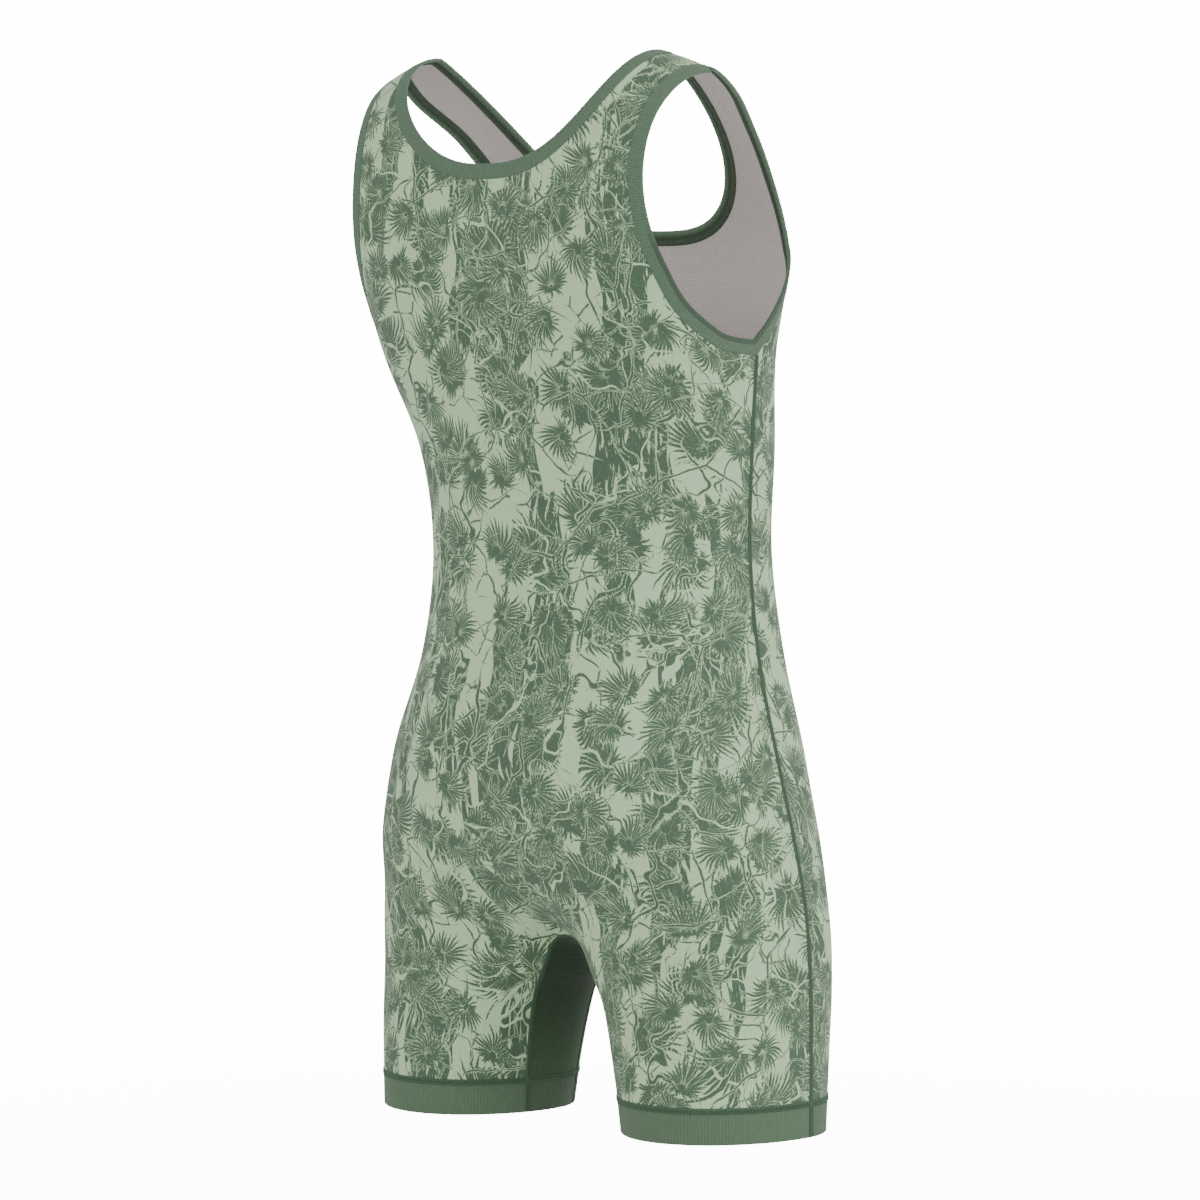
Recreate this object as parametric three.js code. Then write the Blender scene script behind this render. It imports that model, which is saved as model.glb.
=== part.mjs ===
// A wrestling singlet, filled out as it is worn: a back and a front panel of stretched knit, one
// gusset along the inner legs, bindings round the neck and armholes, and a band at each hem.
// Millimetres, +Z up, +X the wearer's left, +Y the wearer's back. The origin lies midway between
// the two straps, level with the ridge where they rest on the shoulders.
import * as THREE from "three";

// Cloth thicknesses and the gap kept at every seam.
const PANEL_WALL = 1.2;
const BAND_WALL = 1.8;
const BINDING = { width: 10.9, wall: 2.4, round: 1.2 };
const SEAM_GAP = 0.3;

// Heights, down from the ridge of the straps.
const DOME_FOOT = -150;
const ARMHOLE_FOOT = -228.4;
const FORK_TOP = -540;
const ARCH_TOP = -677;
const CROTCH = -704;
const BAND_TOP = -796;
const HEM = -821;

// Sections of the garment. Each is two half superellipses that meet at the side seam, whose
// place front to back is seamY. Below the fork the same row describes one leg.
const SECTIONS = [
  { z: -100, halfWidth: 173, seamY: -49, back: 121, front: 86, backPower: 5.2, frontPower: 2.5 },
  { z: -150, halfWidth: 174, seamY: -49, back: 121, front: 99, backPower: 4.0, frontPower: 2.5 },
  { z: -232, halfWidth: 166, seamY: -50, back: 108, front: 92, backPower: 2.9, frontPower: 2.25 },
  { z: -300, halfWidth: 152, seamY: -63, back: 103, front: 92, backPower: 2.4, frontPower: 2.4 },
  { z: -380, halfWidth: 145, seamY: -70, back: 103, front: 92, backPower: 2.3, frontPower: 2.3 },
  { z: -460, halfWidth: 152, seamY: -72, back: 116, front: 103, backPower: 2.3, frontPower: 2.3 },
  { z: -540, halfWidth: 174, seamY: -68, back: 131, front: 113, backPower: 2.3, frontPower: 2.3 },
  { z: -600, halfWidth: 188, seamY: -70, back: 122, front: 102, backPower: 2.3, frontPower: 2.3 },
  { z: -650, halfWidth: 195, seamY: -74, back: 100, front: 88, backPower: 2.2, frontPower: 2.2 },
  { z: -704, halfWidth: 198, seamY: -76, back: 90, front: 79, backPower: 2.2, frontPower: 2.2 },
  { z: -760, halfWidth: 198, seamY: -77, back: 93, front: 72, backPower: 2.1, frontPower: 2.1 },
  { z: -821, halfWidth: 198, seamY: -77, back: 92, front: 66, backPower: 2.0, frontPower: 2.0 },
];

// Where the two legs part: the inner reach of a leg's section, and how softly the seat and the
// crotch round over the middle of the body. What comes nearer to the middle than ON_MIDDLE is on it.
const INNER_LEG = { crotch: 24, hem: 52, parting: 2.9, flare: 0.4, start: 0.01, lean: 7 };
const MIDDLE_SOFTNESS = 24;
const ON_MIDDLE = 0.01;

// The shoulder ridge falls and moves back towards the arm. Over it the cloth is a cubic curve:
// lift is how far it first climbs, reach how far it runs level before the ridge.
const RIDGE = { top: 4, fall: 18, back: -10, at: 147 };
const OVER_SHOULDER = { back: { lift: 0.54, reach: 0.8 }, front: { lift: 0.54, reach: 0.06 } };

// Seam of the neck binding: half a superellipse on each side, measured down the cloth.
const NECK = { halfWidth: 118.4, back: 116.4, front: 146.4, backPower: 2.4, frontPower: 2.8 };

// Seam of the armhole binding: the angle round the section, by rise from the armhole's foot (0)
// to the ridge (1), where the strap's edge is at strapEdge.
const ARMHOLE = [
  { rise: 0.0, back: 90.0, front: 90.0 },
  { rise: 0.12, back: 77.6, front: 89.0 },
  { rise: 0.25, back: 69.7, front: 85.0 },
  { rise: 0.38, back: 62.1, front: 78.7 },
  { rise: 0.5, back: 56.8, front: 71.1 },
  { rise: 0.6, back: 52.9, front: 63.4 },
  { rise: 0.7, back: 51.1, front: 60.8 },
  { rise: 0.8, back: 51.5, front: 63.5 },
  { rise: 0.9, back: 53.5, front: 68.2 },
];
const STRAP_EDGE = 145.6;
const CORNER_REACH = 16;

// Gusset seams at the hem, front to back. At the top of its arch each seam crosses the middle.
const GUSSET_AT_HEM = { back: -38, front: -94 };

// How finely each stretch is divided.
const COLUMNS = 11;
const ROWS = { neck: 9, backYoke: 8, frontYoke: 8, torso: 12, leg: 8 };
const GUSSET_COLUMNS = 8;

const DIRECTION = { back: 1, front: -1 };
const SIDES = ["back", "front"];

const COLOURS = { print: 0x93a586, plain: 0x647f66, gusset: 0x435843 };

// Cubic through the rows of a table, its slopes the mean of the neighbouring chords.
function fromTable(rows, key, column, at) {
  let i = 0;
  const last = rows.length - 2;
  const rising = rows[1][key] > rows[0][key];
  while (i < last && (rising ? at > rows[i + 1][key] : at < rows[i + 1][key])) i += 1;
  const chord = (k) => (rows[k + 1][column] - rows[k][column]) / (rows[k + 1][key] - rows[k][key]);
  const slope = (k) => {
    if (k === 0) return chord(0);
    if (k === rows.length - 1) return chord(k - 1);
    return (chord(k - 1) + chord(k)) / 2;
  };
  const span = rows[i + 1][key] - rows[i][key];
  const t = (at - rows[i][key]) / span;
  return (
    rows[i][column] * (1 + 2 * t) * (1 - t) ** 2 +
    slope(i) * span * t * (1 - t) ** 2 +
    rows[i + 1][column] * t * t * (3 - 2 * t) +
    slope(i + 1) * span * t * t * (t - 1)
  );
}

const share = (from, to, at) => THREE.MathUtils.clamp((at - from) / (to - from), 0, 1);

// How far the two legs have parted at a height: 0 on the torso, 1 at the crotch and below.
const parted = (z) => 1 - (1 - share(FORK_TOP, CROTCH, z) ** 2) ** INNER_LEG.parting;

function section(side, z) {
  const halfWidth = fromTable(SECTIONS, "z", "halfWidth", z);
  const flared = (at) => (at + INNER_LEG.start) ** INNER_LEG.flare - INNER_LEG.start ** INNER_LEG.flare;
  const flare = flared(share(CROTCH, HEM, z)) / flared(1);
  const legInner = INNER_LEG.crotch + (INNER_LEG.hem - INNER_LEG.crotch) * flare;
  const open = parted(z);
  const inner = z < CROTCH ? legInner : -halfWidth * (1 - open) + INNER_LEG.crotch * open;
  return {
    middle: (halfWidth + inner) / 2,
    half: (halfWidth - inner) / 2,
    seamY: fromTable(SECTIONS, "z", "seamY", z),
    depth: fromTable(SECTIONS, "z", side, z),
    power: fromTable(SECTIONS, "z", `${side}Power`, z),
    lean: INNER_LEG.lean * open,
  };
}

const leanAt = (s, across) => (s.lean * (1 - across)) / 2;

// A point of a section by its polar angle: 0 at the crest, 90 degrees at the side seam and
// -90 degrees at the inner leg.
function ringPoint(side, z, angle) {
  const s = section(side, z);
  const sine = Math.sin(angle);
  const cosine = Math.max(Math.cos(angle), 0);
  const radius = (Math.abs(sine / s.half) ** s.power + (cosine / s.depth) ** s.power) ** (-1 / s.power);
  const wide = s.middle + radius * sine;
  const off = Math.sqrt(Math.max(wide * wide - MIDDLE_SOFTNESS ** 2, 0));
  const x = off < ON_MIDDLE ? 0 : off;
  const y = s.seamY + leanAt(s, (wide - s.middle) / s.half) + DIRECTION[side] * radius * cosine;
  return new THREE.Vector3(x, y, z);
}

function angleAtX(side, z, x) {
  const s = section(side, z);
  const across = THREE.MathUtils.clamp((Math.hypot(x, MIDDLE_SOFTNESS) - s.middle) / s.half, -1, 1);
  const deep = (1 - Math.abs(across) ** s.power) ** (1 / s.power);
  return Math.atan2(s.half * across, s.depth * deep);
}

// The angle where a section reaches a given place front to back, beyond the crest on the outer
// side (1) or the inner side (-1).
function angleAtY(side, z, y, flank) {
  const s = section(side, z);
  let across = flank;
  for (let pass = 0; pass < 12; pass += 1) {
    const deep = THREE.MathUtils.clamp((DIRECTION[side] * (y - s.seamY - leanAt(s, across))) / s.depth, 0, 1);
    across = flank * (1 - deep ** s.power) ** (1 / s.power);
  }
  const deep = (1 - Math.abs(across) ** s.power) ** (1 / s.power);
  return Math.atan2(s.half * across, s.depth * deep);
}

const depthAtX = (side, z, x) => ringPoint(side, z, angleAtX(side, z, x)).y;

// The cloth over the shoulder, in a plane of constant x: a cubic from the chest section, which it
// leaves smoothly, to the ridge, which it meets level.
function shoulderPoint(side, rise, x) {
  const footY = depthAtX(side, DOME_FOOT, x);
  const slope = (footY - depthAtX(side, DOME_FOOT - 2, x)) / 2;
  const fall = (x / RIDGE.at) ** 4;
  const top = RIDGE.top - RIDGE.fall * fall;
  const ridgeY = RIDGE.back * fall;
  const climb = OVER_SHOULDER[side].lift * (top - DOME_FOOT);
  const level = OVER_SHOULDER[side].reach * Math.abs(footY - ridgeY);
  const foot = new THREE.Vector3(x, footY, DOME_FOOT);
  const leave = new THREE.Vector3(x, footY + slope * climb, DOME_FOOT + climb);
  const arrive = new THREE.Vector3(x, ridgeY + DIRECTION[side] * level, top);
  const ridge = new THREE.Vector3(x, ridgeY, top);
  return new THREE.CubicBezierCurve3(foot, leave, arrive, ridge).getPoint(rise);
}

const riseOf = (level) => (level - DOME_FOOT) / -DOME_FOOT;

// Any point of the cloth by its level (0 at the ridge, a height below the chest) and angle.
function clothPoint(side, level, angle) {
  if (level <= DOME_FOOT) return ringPoint(side, level, angle);
  return shoulderPoint(side, riseOf(level), ringPoint(side, DOME_FOOT, angle).x);
}

// How far a place lies outside (+) or inside (-) its section, whose gradient is the normal.
function outsideness(side, p) {
  const s = section(side, p.z);
  const across = (Math.hypot(p.x, MIDDLE_SOFTNESS) - s.middle) / s.half;
  const deep = (p.y - s.seamY - leanAt(s, across)) / s.depth;
  return Math.abs(across) ** s.power + Math.abs(deep) ** s.power;
}

function clothNormal(side, level, angle) {
  const step = 0.5;
  const p = clothPoint(side, level, angle);
  if (level <= DOME_FOOT) {
    const change = (axis) => {
      const shift = new THREE.Vector3().setComponent(axis, step);
      return outsideness(side, p.clone().add(shift)) - outsideness(side, p.clone().sub(shift));
    };
    return new THREE.Vector3(change(0), change(1), change(2)).normalize();
  }
  const rise = riseOf(level);
  const low = Math.max(rise - 0.01, 0);
  const high = Math.min(rise + 0.01, 1);
  const along = shoulderPoint(side, high, p.x).sub(shoulderPoint(side, low, p.x));
  const across = shoulderPoint(side, rise, p.x + step).sub(shoulderPoint(side, rise, Math.max(p.x - step, 0)));
  return across.cross(along).multiplyScalar(-DIRECTION[side]).normalize();
}

// Inner edge of a panel at a level: the neck seam, the middle of the body or the gusset seam.
function gussetSeamY(side, z) {
  const top = depthAtX(side, ARCH_TOP, 0);
  return top + (GUSSET_AT_HEM[side] - top) * share(ARCH_TOP, HEM, z);
}

function innerAngle(side, level) {
  if (level > -NECK[side]) {
    const power = NECK[`${side}Power`];
    const x = NECK.halfWidth * (1 - (-level / NECK[side]) ** power) ** (1 / power);
    return angleAtX(side, Math.min(level, DOME_FOOT), x);
  }
  if (level >= ARCH_TOP) return angleAtX(side, Math.min(level, DOME_FOOT), 0);
  return angleAtY(side, level, gussetSeamY(side, level), -1);
}

// Outer edge of a panel at a level: the armhole seam or the side seam.
function outerAngle(side, level) {
  const z = Math.min(level, DOME_FOOT);
  const seam = angleAtY(side, z, section(side, z).seamY + (DIRECTION[side] * SEAM_GAP) / 2, 1);
  if (level <= ARMHOLE_FOOT) return seam;
  const ridge = THREE.MathUtils.radToDeg(angleAtX(side, DOME_FOOT, STRAP_EDGE));
  const rows = [...ARMHOLE, { rise: 1, [side]: ridge }];
  const rise = Math.sqrt(1 - level / ARMHOLE_FOOT);
  return Math.min(THREE.MathUtils.degToRad(fromTable(rows, "rise", side, rise)), seam);
}

const steps = (count, rule) => Array.from({ length: count }, (_, i) => rule((i + 1) / count));

// Levels of a panel's rows, closer together where an edge turns level.
function panelLevels(side) {
  const neckFoot = -NECK[side];
  const neck = steps(ROWS.neck, (u) => neckFoot * Math.sin((u * Math.PI) / 2));
  const rise = Math.sqrt(1 - neckFoot / ARMHOLE_FOOT);
  const yoke = {
    back: steps(ROWS.backYoke, (u) => ARMHOLE_FOOT * (1 - (rise * (1 - u)) ** 2)),
    front: steps(ROWS.frontYoke, (u) => neckFoot + (ARMHOLE_FOOT - neckFoot) * u),
  };
  const torso = steps(ROWS.torso, (u) => ARMHOLE_FOOT + (ARCH_TOP - ARMHOLE_FOOT) * u);
  const leg = steps(ROWS.leg, (u) => ARCH_TOP + (BAND_TOP - ARCH_TOP) * u * u);
  const ridge = -SEAM_GAP / 2;
  return [ridge, ...neck, ...yoke[side], ...torso, ...leg];
}

// One row of stations from the inner to the outer edge, even along the cloth.
function rowStations(side, level, count) {
  const from = innerAngle(side, level);
  const to = outerAngle(side, level);
  const fine = 60;
  const angles = Array.from({ length: fine + 1 }, (_, i) => from + ((to - from) * i) / fine);
  const points = angles.map((angle) => clothPoint(side, level, angle));
  const run = [0];
  for (let i = 1; i <= fine; i += 1) run.push(run[i - 1] + points[i].distanceTo(points[i - 1]));
  const stations = [];
  for (let j = 0; j <= count; j += 1) {
    const want = (run[fine] * j) / count;
    let i = 1;
    while (i < fine && run[i] < want) i += 1;
    const part = (want - run[i - 1]) / (run[i] - run[i - 1]);
    const angle = angles[i - 1] + (angles[i] - angles[i - 1]) * THREE.MathUtils.clamp(part, 0, 1);
    stations.push({ p: clothPoint(side, level, angle), n: clothNormal(side, level, angle) });
  }
  return stations;
}

// The minus sign is kept off a zero, so that a station on the middle is its own mirror image.
const mirrored = (station) => ({
  p: station.p.clone().setX(-station.p.x || 0),
  n: station.n.clone().setX(-station.n.x || 0),
});

// Cloth of a given wall as one closed solid, from stations joined by four-cornered patches whose
// corners run anticlockwise seen from outside. Every free edge of the patches gets a cut edge.
class Wall {
  constructor(thickness) {
    this.thickness = thickness;
    this.stations = [];
    this.patches = [];
    this.seen = new Map();
  }

  add(station) {
    const key = station.p.toArray().map((v) => v.toFixed(3)).join();
    if (!this.seen.has(key)) {
      this.seen.set(key, this.stations.length);
      this.stations.push(station);
    }
    return this.seen.get(key);
  }

  patch(a, b, c, d) {
    const corners = [a, b, c, d].filter((v, i, all) => v !== all[(i + 1) % 4]);
    if (corners.length > 2) this.patches.push(corners);
  }

  // Rows of stations, joined row to row; flip turns the patches over.
  addRows(rows, flip) {
    const index = rows.map((row) => row.map((station) => this.add(station)));
    for (let i = 0; i + 1 < index.length; i += 1) {
      for (let j = 0; j + 1 < index[i].length; j += 1) {
        const loop = [index[i][j], index[i + 1][j], index[i + 1][j + 1], index[i][j + 1]];
        this.patch(...(flip ? loop.reverse() : loop));
      }
    }
  }

  // A four-cornered patch is cut along its shorter diagonal.
  triangles(loop) {
    if (loop.length < 4) return [loop];
    const [a, b, c, d] = loop;
    const apart = (i, j) => this.stations[i].p.distanceTo(this.stations[j].p);
    return apart(a, c) <= apart(b, d) ? [[a, b, c], [a, c, d]] : [[b, c, d], [b, d, a]];
  }

  geometry() {
    const count = this.stations.length;
    const outer = this.stations.map((s) => s.p);
    const inner = this.stations.map((s) => s.p.clone().addScaledVector(s.n, -this.thickness));
    const faces = [];
    const edges = new Map();
    for (const loop of this.patches) {
      for (const [a, b, c] of this.triangles(loop)) {
        faces.push(a, b, c);
        faces.push(count + a, count + c, count + b);
      }
      loop.forEach((from, k) => {
        const to = loop[(k + 1) % loop.length];
        if (!edges.delete(`${to}-${from}`)) edges.set(`${from}-${to}`, [from, to]);
      });
    }
    for (const [from, to] of edges.values()) {
      faces.push(to, from, count + from);
      faces.push(to, count + from, count + to);
    }
    return meshGeometry([...outer, ...inner], faces);
  }
}

function meshGeometry(points, faces) {
  const geometry = new THREE.BufferGeometry();
  const position = new Float32Array(points.flatMap((p) => p.toArray()));
  geometry.setAttribute("position", new THREE.BufferAttribute(position, 3));
  geometry.setIndex(faces);
  geometry.computeVertexNormals();
  return geometry;
}

// A panel is its left half and the mirror image of it, joined down the middle.
function panelRows(side) {
  return panelLevels(side).map((level) => rowStations(side, level, COLUMNS));
}

function panelGeometry(side, rows) {
  const wall = new Wall(PANEL_WALL);
  const flip = side === "back";
  wall.addRows(rows, flip);
  wall.addRows(rows.map((row) => row.map(mirrored)), !flip);
  return wall.geometry();
}

// The gusset: across from the front seam to the back seam, and along from one leg's band over
// the crotch to the other's. Below its crossing of the middle each line runs down a leg.
function gussetStation(z, across) {
  const backY = gussetSeamY("back", z) - SEAM_GAP;
  const frontY = gussetSeamY("front", z) + SEAM_GAP;
  const y = frontY + ((backY - frontY) * (across + 1)) / 2;
  const s = section("back", z);
  const side = y > s.seamY + leanAt(s, -1) ? "back" : "front";
  const angle = angleAtY(side, z, y, -1);
  return { p: ringPoint(side, z, angle), n: clothNormal(side, z, angle) };
}

function gussetCrossing(across) {
  let high = ARCH_TOP + 2;
  let low = CROTCH - 2;
  for (let pass = 0; pass < 40; pass += 1) {
    const z = (high + low) / 2;
    if (gussetStation(z, across).p.x > 0) low = z;
    else high = z;
  }
  const station = gussetStation(low, across);
  station.p.setX(0);
  station.n.setX(0).normalize();
  return { z: low, station };
}

function gussetGeometry() {
  const wall = new Wall(PANEL_WALL);
  const rows = [];
  for (let i = 0; i <= GUSSET_COLUMNS; i += 1) {
    const q = (2 * i) / GUSSET_COLUMNS - 1;
    const top = gussetCrossing(q);
    const down = steps(ROWS.leg, (u) => gussetStation(top.z + (BAND_TOP - top.z) * u * u, q));
    rows.push([top.station, ...down]);
  }
  wall.addRows(rows, false);
  wall.addRows(rows.map((row) => row.map(mirrored)), true);
  return wall.geometry();
}

// Hem bands: each piece carries on its panel below BAND_TOP, in the same wall's outer surface.
const BAND_LEVELS = [BAND_TOP - SEAM_GAP, (BAND_TOP + HEM) / 2, HEM];

function bandRows(piece) {
  if (piece === "inner") {
    const line = Array.from({ length: GUSSET_COLUMNS + 1 }, (_, i) => (2 * i) / GUSSET_COLUMNS - 1);
    return BAND_LEVELS.map((z) => line.map((across) => gussetStation(z, across)));
  }
  return BAND_LEVELS.map((z) => rowStations(piece, z, COLUMNS));
}

function bandGeometry(piece, leg) {
  const rows = bandRows(piece);
  const wall = new Wall(BAND_WALL);
  const flip = piece !== "front";
  if (leg === "left") wall.addRows(rows, flip);
  else wall.addRows(rows.map((row) => row.map(mirrored)), !flip);
  return wall.geometry();
}

// A binding: a rounded strip that carries the cloth on from a closed line of seam stations
// towards the opening. At a sharp corner its direction turns gradually to the corner's middle.
const BINDING_PROFILE = [
  { out: 0, height: -0.5 },
  { out: 0, height: 0.5 },
  { out: BINDING.width - BINDING.round, height: 0.5 },
  { out: BINDING.width, height: 0 },
  { out: BINDING.width - BINDING.round, height: -0.5 },
];

function bindingGeometry(seam, corner = -1) {
  const count = seam.length;
  const around = (i) => seam[(i + count) % count];
  const inward = seam.map((station, i) => {
    const along = around(i + 1).p.clone().sub(around(i - 1).p);
    return station.n.clone().cross(along).normalize();
  });
  if (corner >= 0) softenCorner(seam, inward, corner);
  const points = [];
  seam.forEach((station, i) => {
    const middle = station.p.clone().addScaledVector(station.n, -PANEL_WALL / 2);
    for (const { out, height } of BINDING_PROFILE) {
      const point = middle.clone().addScaledVector(inward[i], SEAM_GAP + out);
      points.push(point.addScaledVector(station.n, BINDING.wall * height));
    }
  });
  const sides = BINDING_PROFILE.length;
  const faces = [];
  for (let i = 0; i < count; i += 1) {
    const next = (i + 1) % count;
    for (let k = 0; k < sides; k += 1) {
      const l = (k + 1) % sides;
      faces.push(i * sides + k, next * sides + k, next * sides + l);
      faces.push(i * sides + k, next * sides + l, i * sides + l);
    }
  }
  return meshGeometry(points, faces);
}

function softenCorner(seam, inward, corner) {
  const before = seam[corner - 1].p.clone().sub(seam[corner].p).normalize();
  const after = seam[corner + 1].p.clone().sub(seam[corner].p).normalize();
  const middle = before.clone().add(after).normalize();
  const stretch = 1 / Math.sqrt((1 - before.dot(after)) / 2);
  const turned = middle.multiplyScalar(stretch);
  seam.forEach((station, i) => {
    const away = station.p.distanceTo(seam[corner].p);
    if (away < CORNER_REACH) inward[i].lerp(turned, 1 - away / CORNER_REACH);
  });
}

// The neck seam runs from the left ridge down the back, up to the right ridge and down the front.
function neckSeam(rows) {
  const foot = ROWS.neck;
  const left = (side) => rows[side].slice(0, foot + 1).map((row) => row[0]);
  const back = left("back");
  const front = left("front");
  return [
    ...back,
    ...back.slice(0, -1).reverse().map(mirrored),
    ...front.slice(0, -1).map(mirrored),
    ...front.slice().reverse(),
  ];
}

// The left armhole's seam runs from the ridge down the front to its foot and up the back.
function armholeSeam(rows) {
  const foot = { back: ROWS.neck + ROWS.backYoke, front: ROWS.neck + ROWS.frontYoke };
  const edge = (side) => rows[side].slice(0, foot[side]).map((row) => row[COLUMNS]);
  const sideSeam = Math.PI / 2;
  const bottom = {
    p: ringPoint("back", ARMHOLE_FOOT, sideSeam),
    n: clothNormal("back", ARMHOLE_FOOT, sideSeam),
  };
  const seam = [...edge("front"), bottom, ...edge("back").reverse()];
  return { seam, corner: foot.front };
}

function mirrorGeometry(geometry) {
  const turned = geometry.clone();
  turned.scale(-1, 1, 1);
  const index = Array.from(turned.getIndex().array);
  const faces = [];
  for (let i = 0; i < index.length; i += 3) faces.push(index[i], index[i + 2], index[i + 1]);
  turned.setIndex(faces);
  turned.computeVertexNormals();
  return turned;
}

const knit = (colour) => new THREE.MeshStandardMaterial({ color: colour, roughness: 0.85, metalness: 0 });

const singlet = new THREE.Group();
function addPiece(name, geometry, colour) {
  const mesh = new THREE.Mesh(geometry, knit(colour));
  mesh.name = name;
  singlet.add(mesh);
}

const rows = { back: panelRows("back"), front: panelRows("front") };
for (const side of SIDES) addPiece(`${side}_panel`, panelGeometry(side, rows[side]), COLOURS.print);
addPiece("leg_gusset", gussetGeometry(), COLOURS.gusset);
addPiece("neck_binding", bindingGeometry(neckSeam(rows)), COLOURS.plain);
const { seam, corner } = armholeSeam(rows);
const leftArmhole = bindingGeometry(seam, corner);
addPiece("armhole_binding_left", leftArmhole, COLOURS.plain);
addPiece("armhole_binding_right", mirrorGeometry(leftArmhole), COLOURS.plain);
for (const leg of ["left", "right"]) {
  for (const piece of ["back", "front", "inner"]) {
    addPiece(`hem_band_${piece}_${leg}`, bandGeometry(piece, leg), COLOURS.plain);
  }
}

export default singlet;
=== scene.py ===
"""A wrestling singlet, filled out as it is worn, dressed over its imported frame.

The cloth follows one worn form, written as formulas of a level and an angle. The back and the front are
printed outside and plain inside, the gusset, bindings and hem bands are plain, and the sewing lies on the
seams. Sizes are in millimetres, +X the wearer's left, +Y the wearer's back, +Z up, with the origin midway
between the straps, and meshes are made in metres.
"""

import logging
import math
from dataclasses import dataclass, field
from enum import Enum
from typing import TypeVar

import bpy
import numpy as np
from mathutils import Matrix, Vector


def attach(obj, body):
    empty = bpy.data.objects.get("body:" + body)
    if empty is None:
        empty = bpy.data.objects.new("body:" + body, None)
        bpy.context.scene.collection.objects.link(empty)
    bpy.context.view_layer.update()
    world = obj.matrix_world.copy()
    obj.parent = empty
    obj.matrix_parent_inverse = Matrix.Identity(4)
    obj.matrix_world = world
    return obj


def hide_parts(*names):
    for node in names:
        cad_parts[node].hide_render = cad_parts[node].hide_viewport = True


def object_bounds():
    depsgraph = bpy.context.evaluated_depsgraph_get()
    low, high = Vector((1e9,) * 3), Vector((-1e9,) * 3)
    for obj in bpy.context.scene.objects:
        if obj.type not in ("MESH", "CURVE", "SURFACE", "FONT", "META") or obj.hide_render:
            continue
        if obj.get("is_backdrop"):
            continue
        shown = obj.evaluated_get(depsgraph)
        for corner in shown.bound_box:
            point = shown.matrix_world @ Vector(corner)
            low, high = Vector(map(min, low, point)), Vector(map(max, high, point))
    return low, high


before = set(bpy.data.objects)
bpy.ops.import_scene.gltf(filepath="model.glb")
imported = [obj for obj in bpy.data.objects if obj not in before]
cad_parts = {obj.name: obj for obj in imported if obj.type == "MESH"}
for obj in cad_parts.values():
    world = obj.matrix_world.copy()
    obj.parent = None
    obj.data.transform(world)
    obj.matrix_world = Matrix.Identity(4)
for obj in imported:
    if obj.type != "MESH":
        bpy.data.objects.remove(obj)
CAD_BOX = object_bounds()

log = logging.getLogger("singlet")

MM = 0.001
BODY = "root"
MIRROR = np.array([-1.0, 1.0, 1.0])
QUARTER = math.pi / 2  # a quarter turn, which is also the angle of the side seam
TURN = 2 * math.pi
Array = np.ndarray
Socket = bpy.types.NodeSocket
Either = TypeVar("Either")


class Side(Enum):
    """A half of the garment, with the way that it faces along Y."""

    BACK = 1.0
    FRONT = -1.0

    def of(self, pair: tuple[Either, Either]) -> Either:
        """This side's one of a pair, of which the first is the back's."""
        return pair[0 if self is Side.BACK else 1]


class Leg(Enum):
    """One of the wearer's legs."""

    LEFT = "left"
    RIGHT = "right"


class BandPart(Enum):
    """One of the parts that the side and gusset seams cut a hem band into."""

    BACK = "back"
    FRONT = "front"
    INNER = "inner"


class Slot(Enum):
    """The record's material slots."""

    PRINTED = "printed_knit"
    PLAIN = "plain_knit"
    GUSSET = "gusset_knit"


def through(knots: Array, values: Array, at: Array) -> Array:
    """Draws a smooth line through a table's rows.

    Between two rows runs the cubic that has their values, and slopes that are the mean of the
    neighbouring chords, or the end chord itself at an end.

    Args:
        knots: the rows' places.
        values: the rows' values.
        at: the places asked for.

    Returns:
        The value at each place.
    """
    order = np.argsort(knots)
    x, y = np.asarray(knots, float)[order], np.asarray(values, float)[order]
    chord = np.diff(y) / np.diff(x)
    slope = np.concatenate([chord[:1], (chord[:-1] + chord[1:]) / 2, chord[-1:]])
    i = np.clip(np.searchsorted(x, at) - 1, 0, len(x) - 2)
    span = x[i + 1] - x[i]
    t = (at - x[i]) / span
    start = y[i] * (1 + 2 * t) * (1 - t) ** 2 + slope[i] * span * t * (1 - t) ** 2
    return start + y[i + 1] * t * t * (3 - 2 * t) + slope[i + 1] * span * t * t * (t - 1)


def share(start: float, end: float, at: Array) -> Array:
    """How far each place lies from start (0) to end (1), held within them."""
    return np.clip((at - start) / (end - start), 0.0, 1.0)


def blend(start: Array | float, end: Array | float, at: Array | float) -> Array:
    """What lies between start (0) and end (1)."""
    return start + (end - start) * at


def looped(rows: Array, axis: int = 0) -> Array:
    """Rows with the first one again at the end."""
    return np.concatenate([rows, np.take(rows, [0], axis=axis)], axis=axis)


def crossed(down: Array, along: Array) -> Array:
    """Pairs of a value of each row and one of each column, on the last axis."""
    return np.stack(np.broadcast_arrays(down, along), axis=-1)


def unit(vectors: Array) -> Array:
    """Each vector divided by its length."""
    return vectors / np.maximum(np.linalg.norm(vectors, axis=-1, keepdims=True), 1e-12)


def lengths_along(points: Array) -> Array:
    """The run from the first point of each line to each of its points, lines along the last but one axis."""
    steps = np.linalg.norm(np.diff(points, axis=-2), axis=-1)
    return np.concatenate([np.zeros(steps.shape[:-1] + (1,)), np.cumsum(steps, axis=-1)], axis=-1)


def between(at: Array, knots: Array, rows: Array) -> Array:
    """A table's rows read at places between its knots, in straight steps."""
    return np.stack([np.interp(at, knots, column) for column in rows.T], axis=-1)


@dataclass(frozen=True)
class Levels:
    """Heights of the garment, down from the ridge of its straps."""

    dome_foot: float = -150.0
    armhole_foot: float = -228.4
    fork_top: float = -540.0
    arch_top: float = -677.0
    crotch: float = -704.0
    band_top: float = -796.0
    hem: float = -821.0


LEVELS = Levels()


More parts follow.
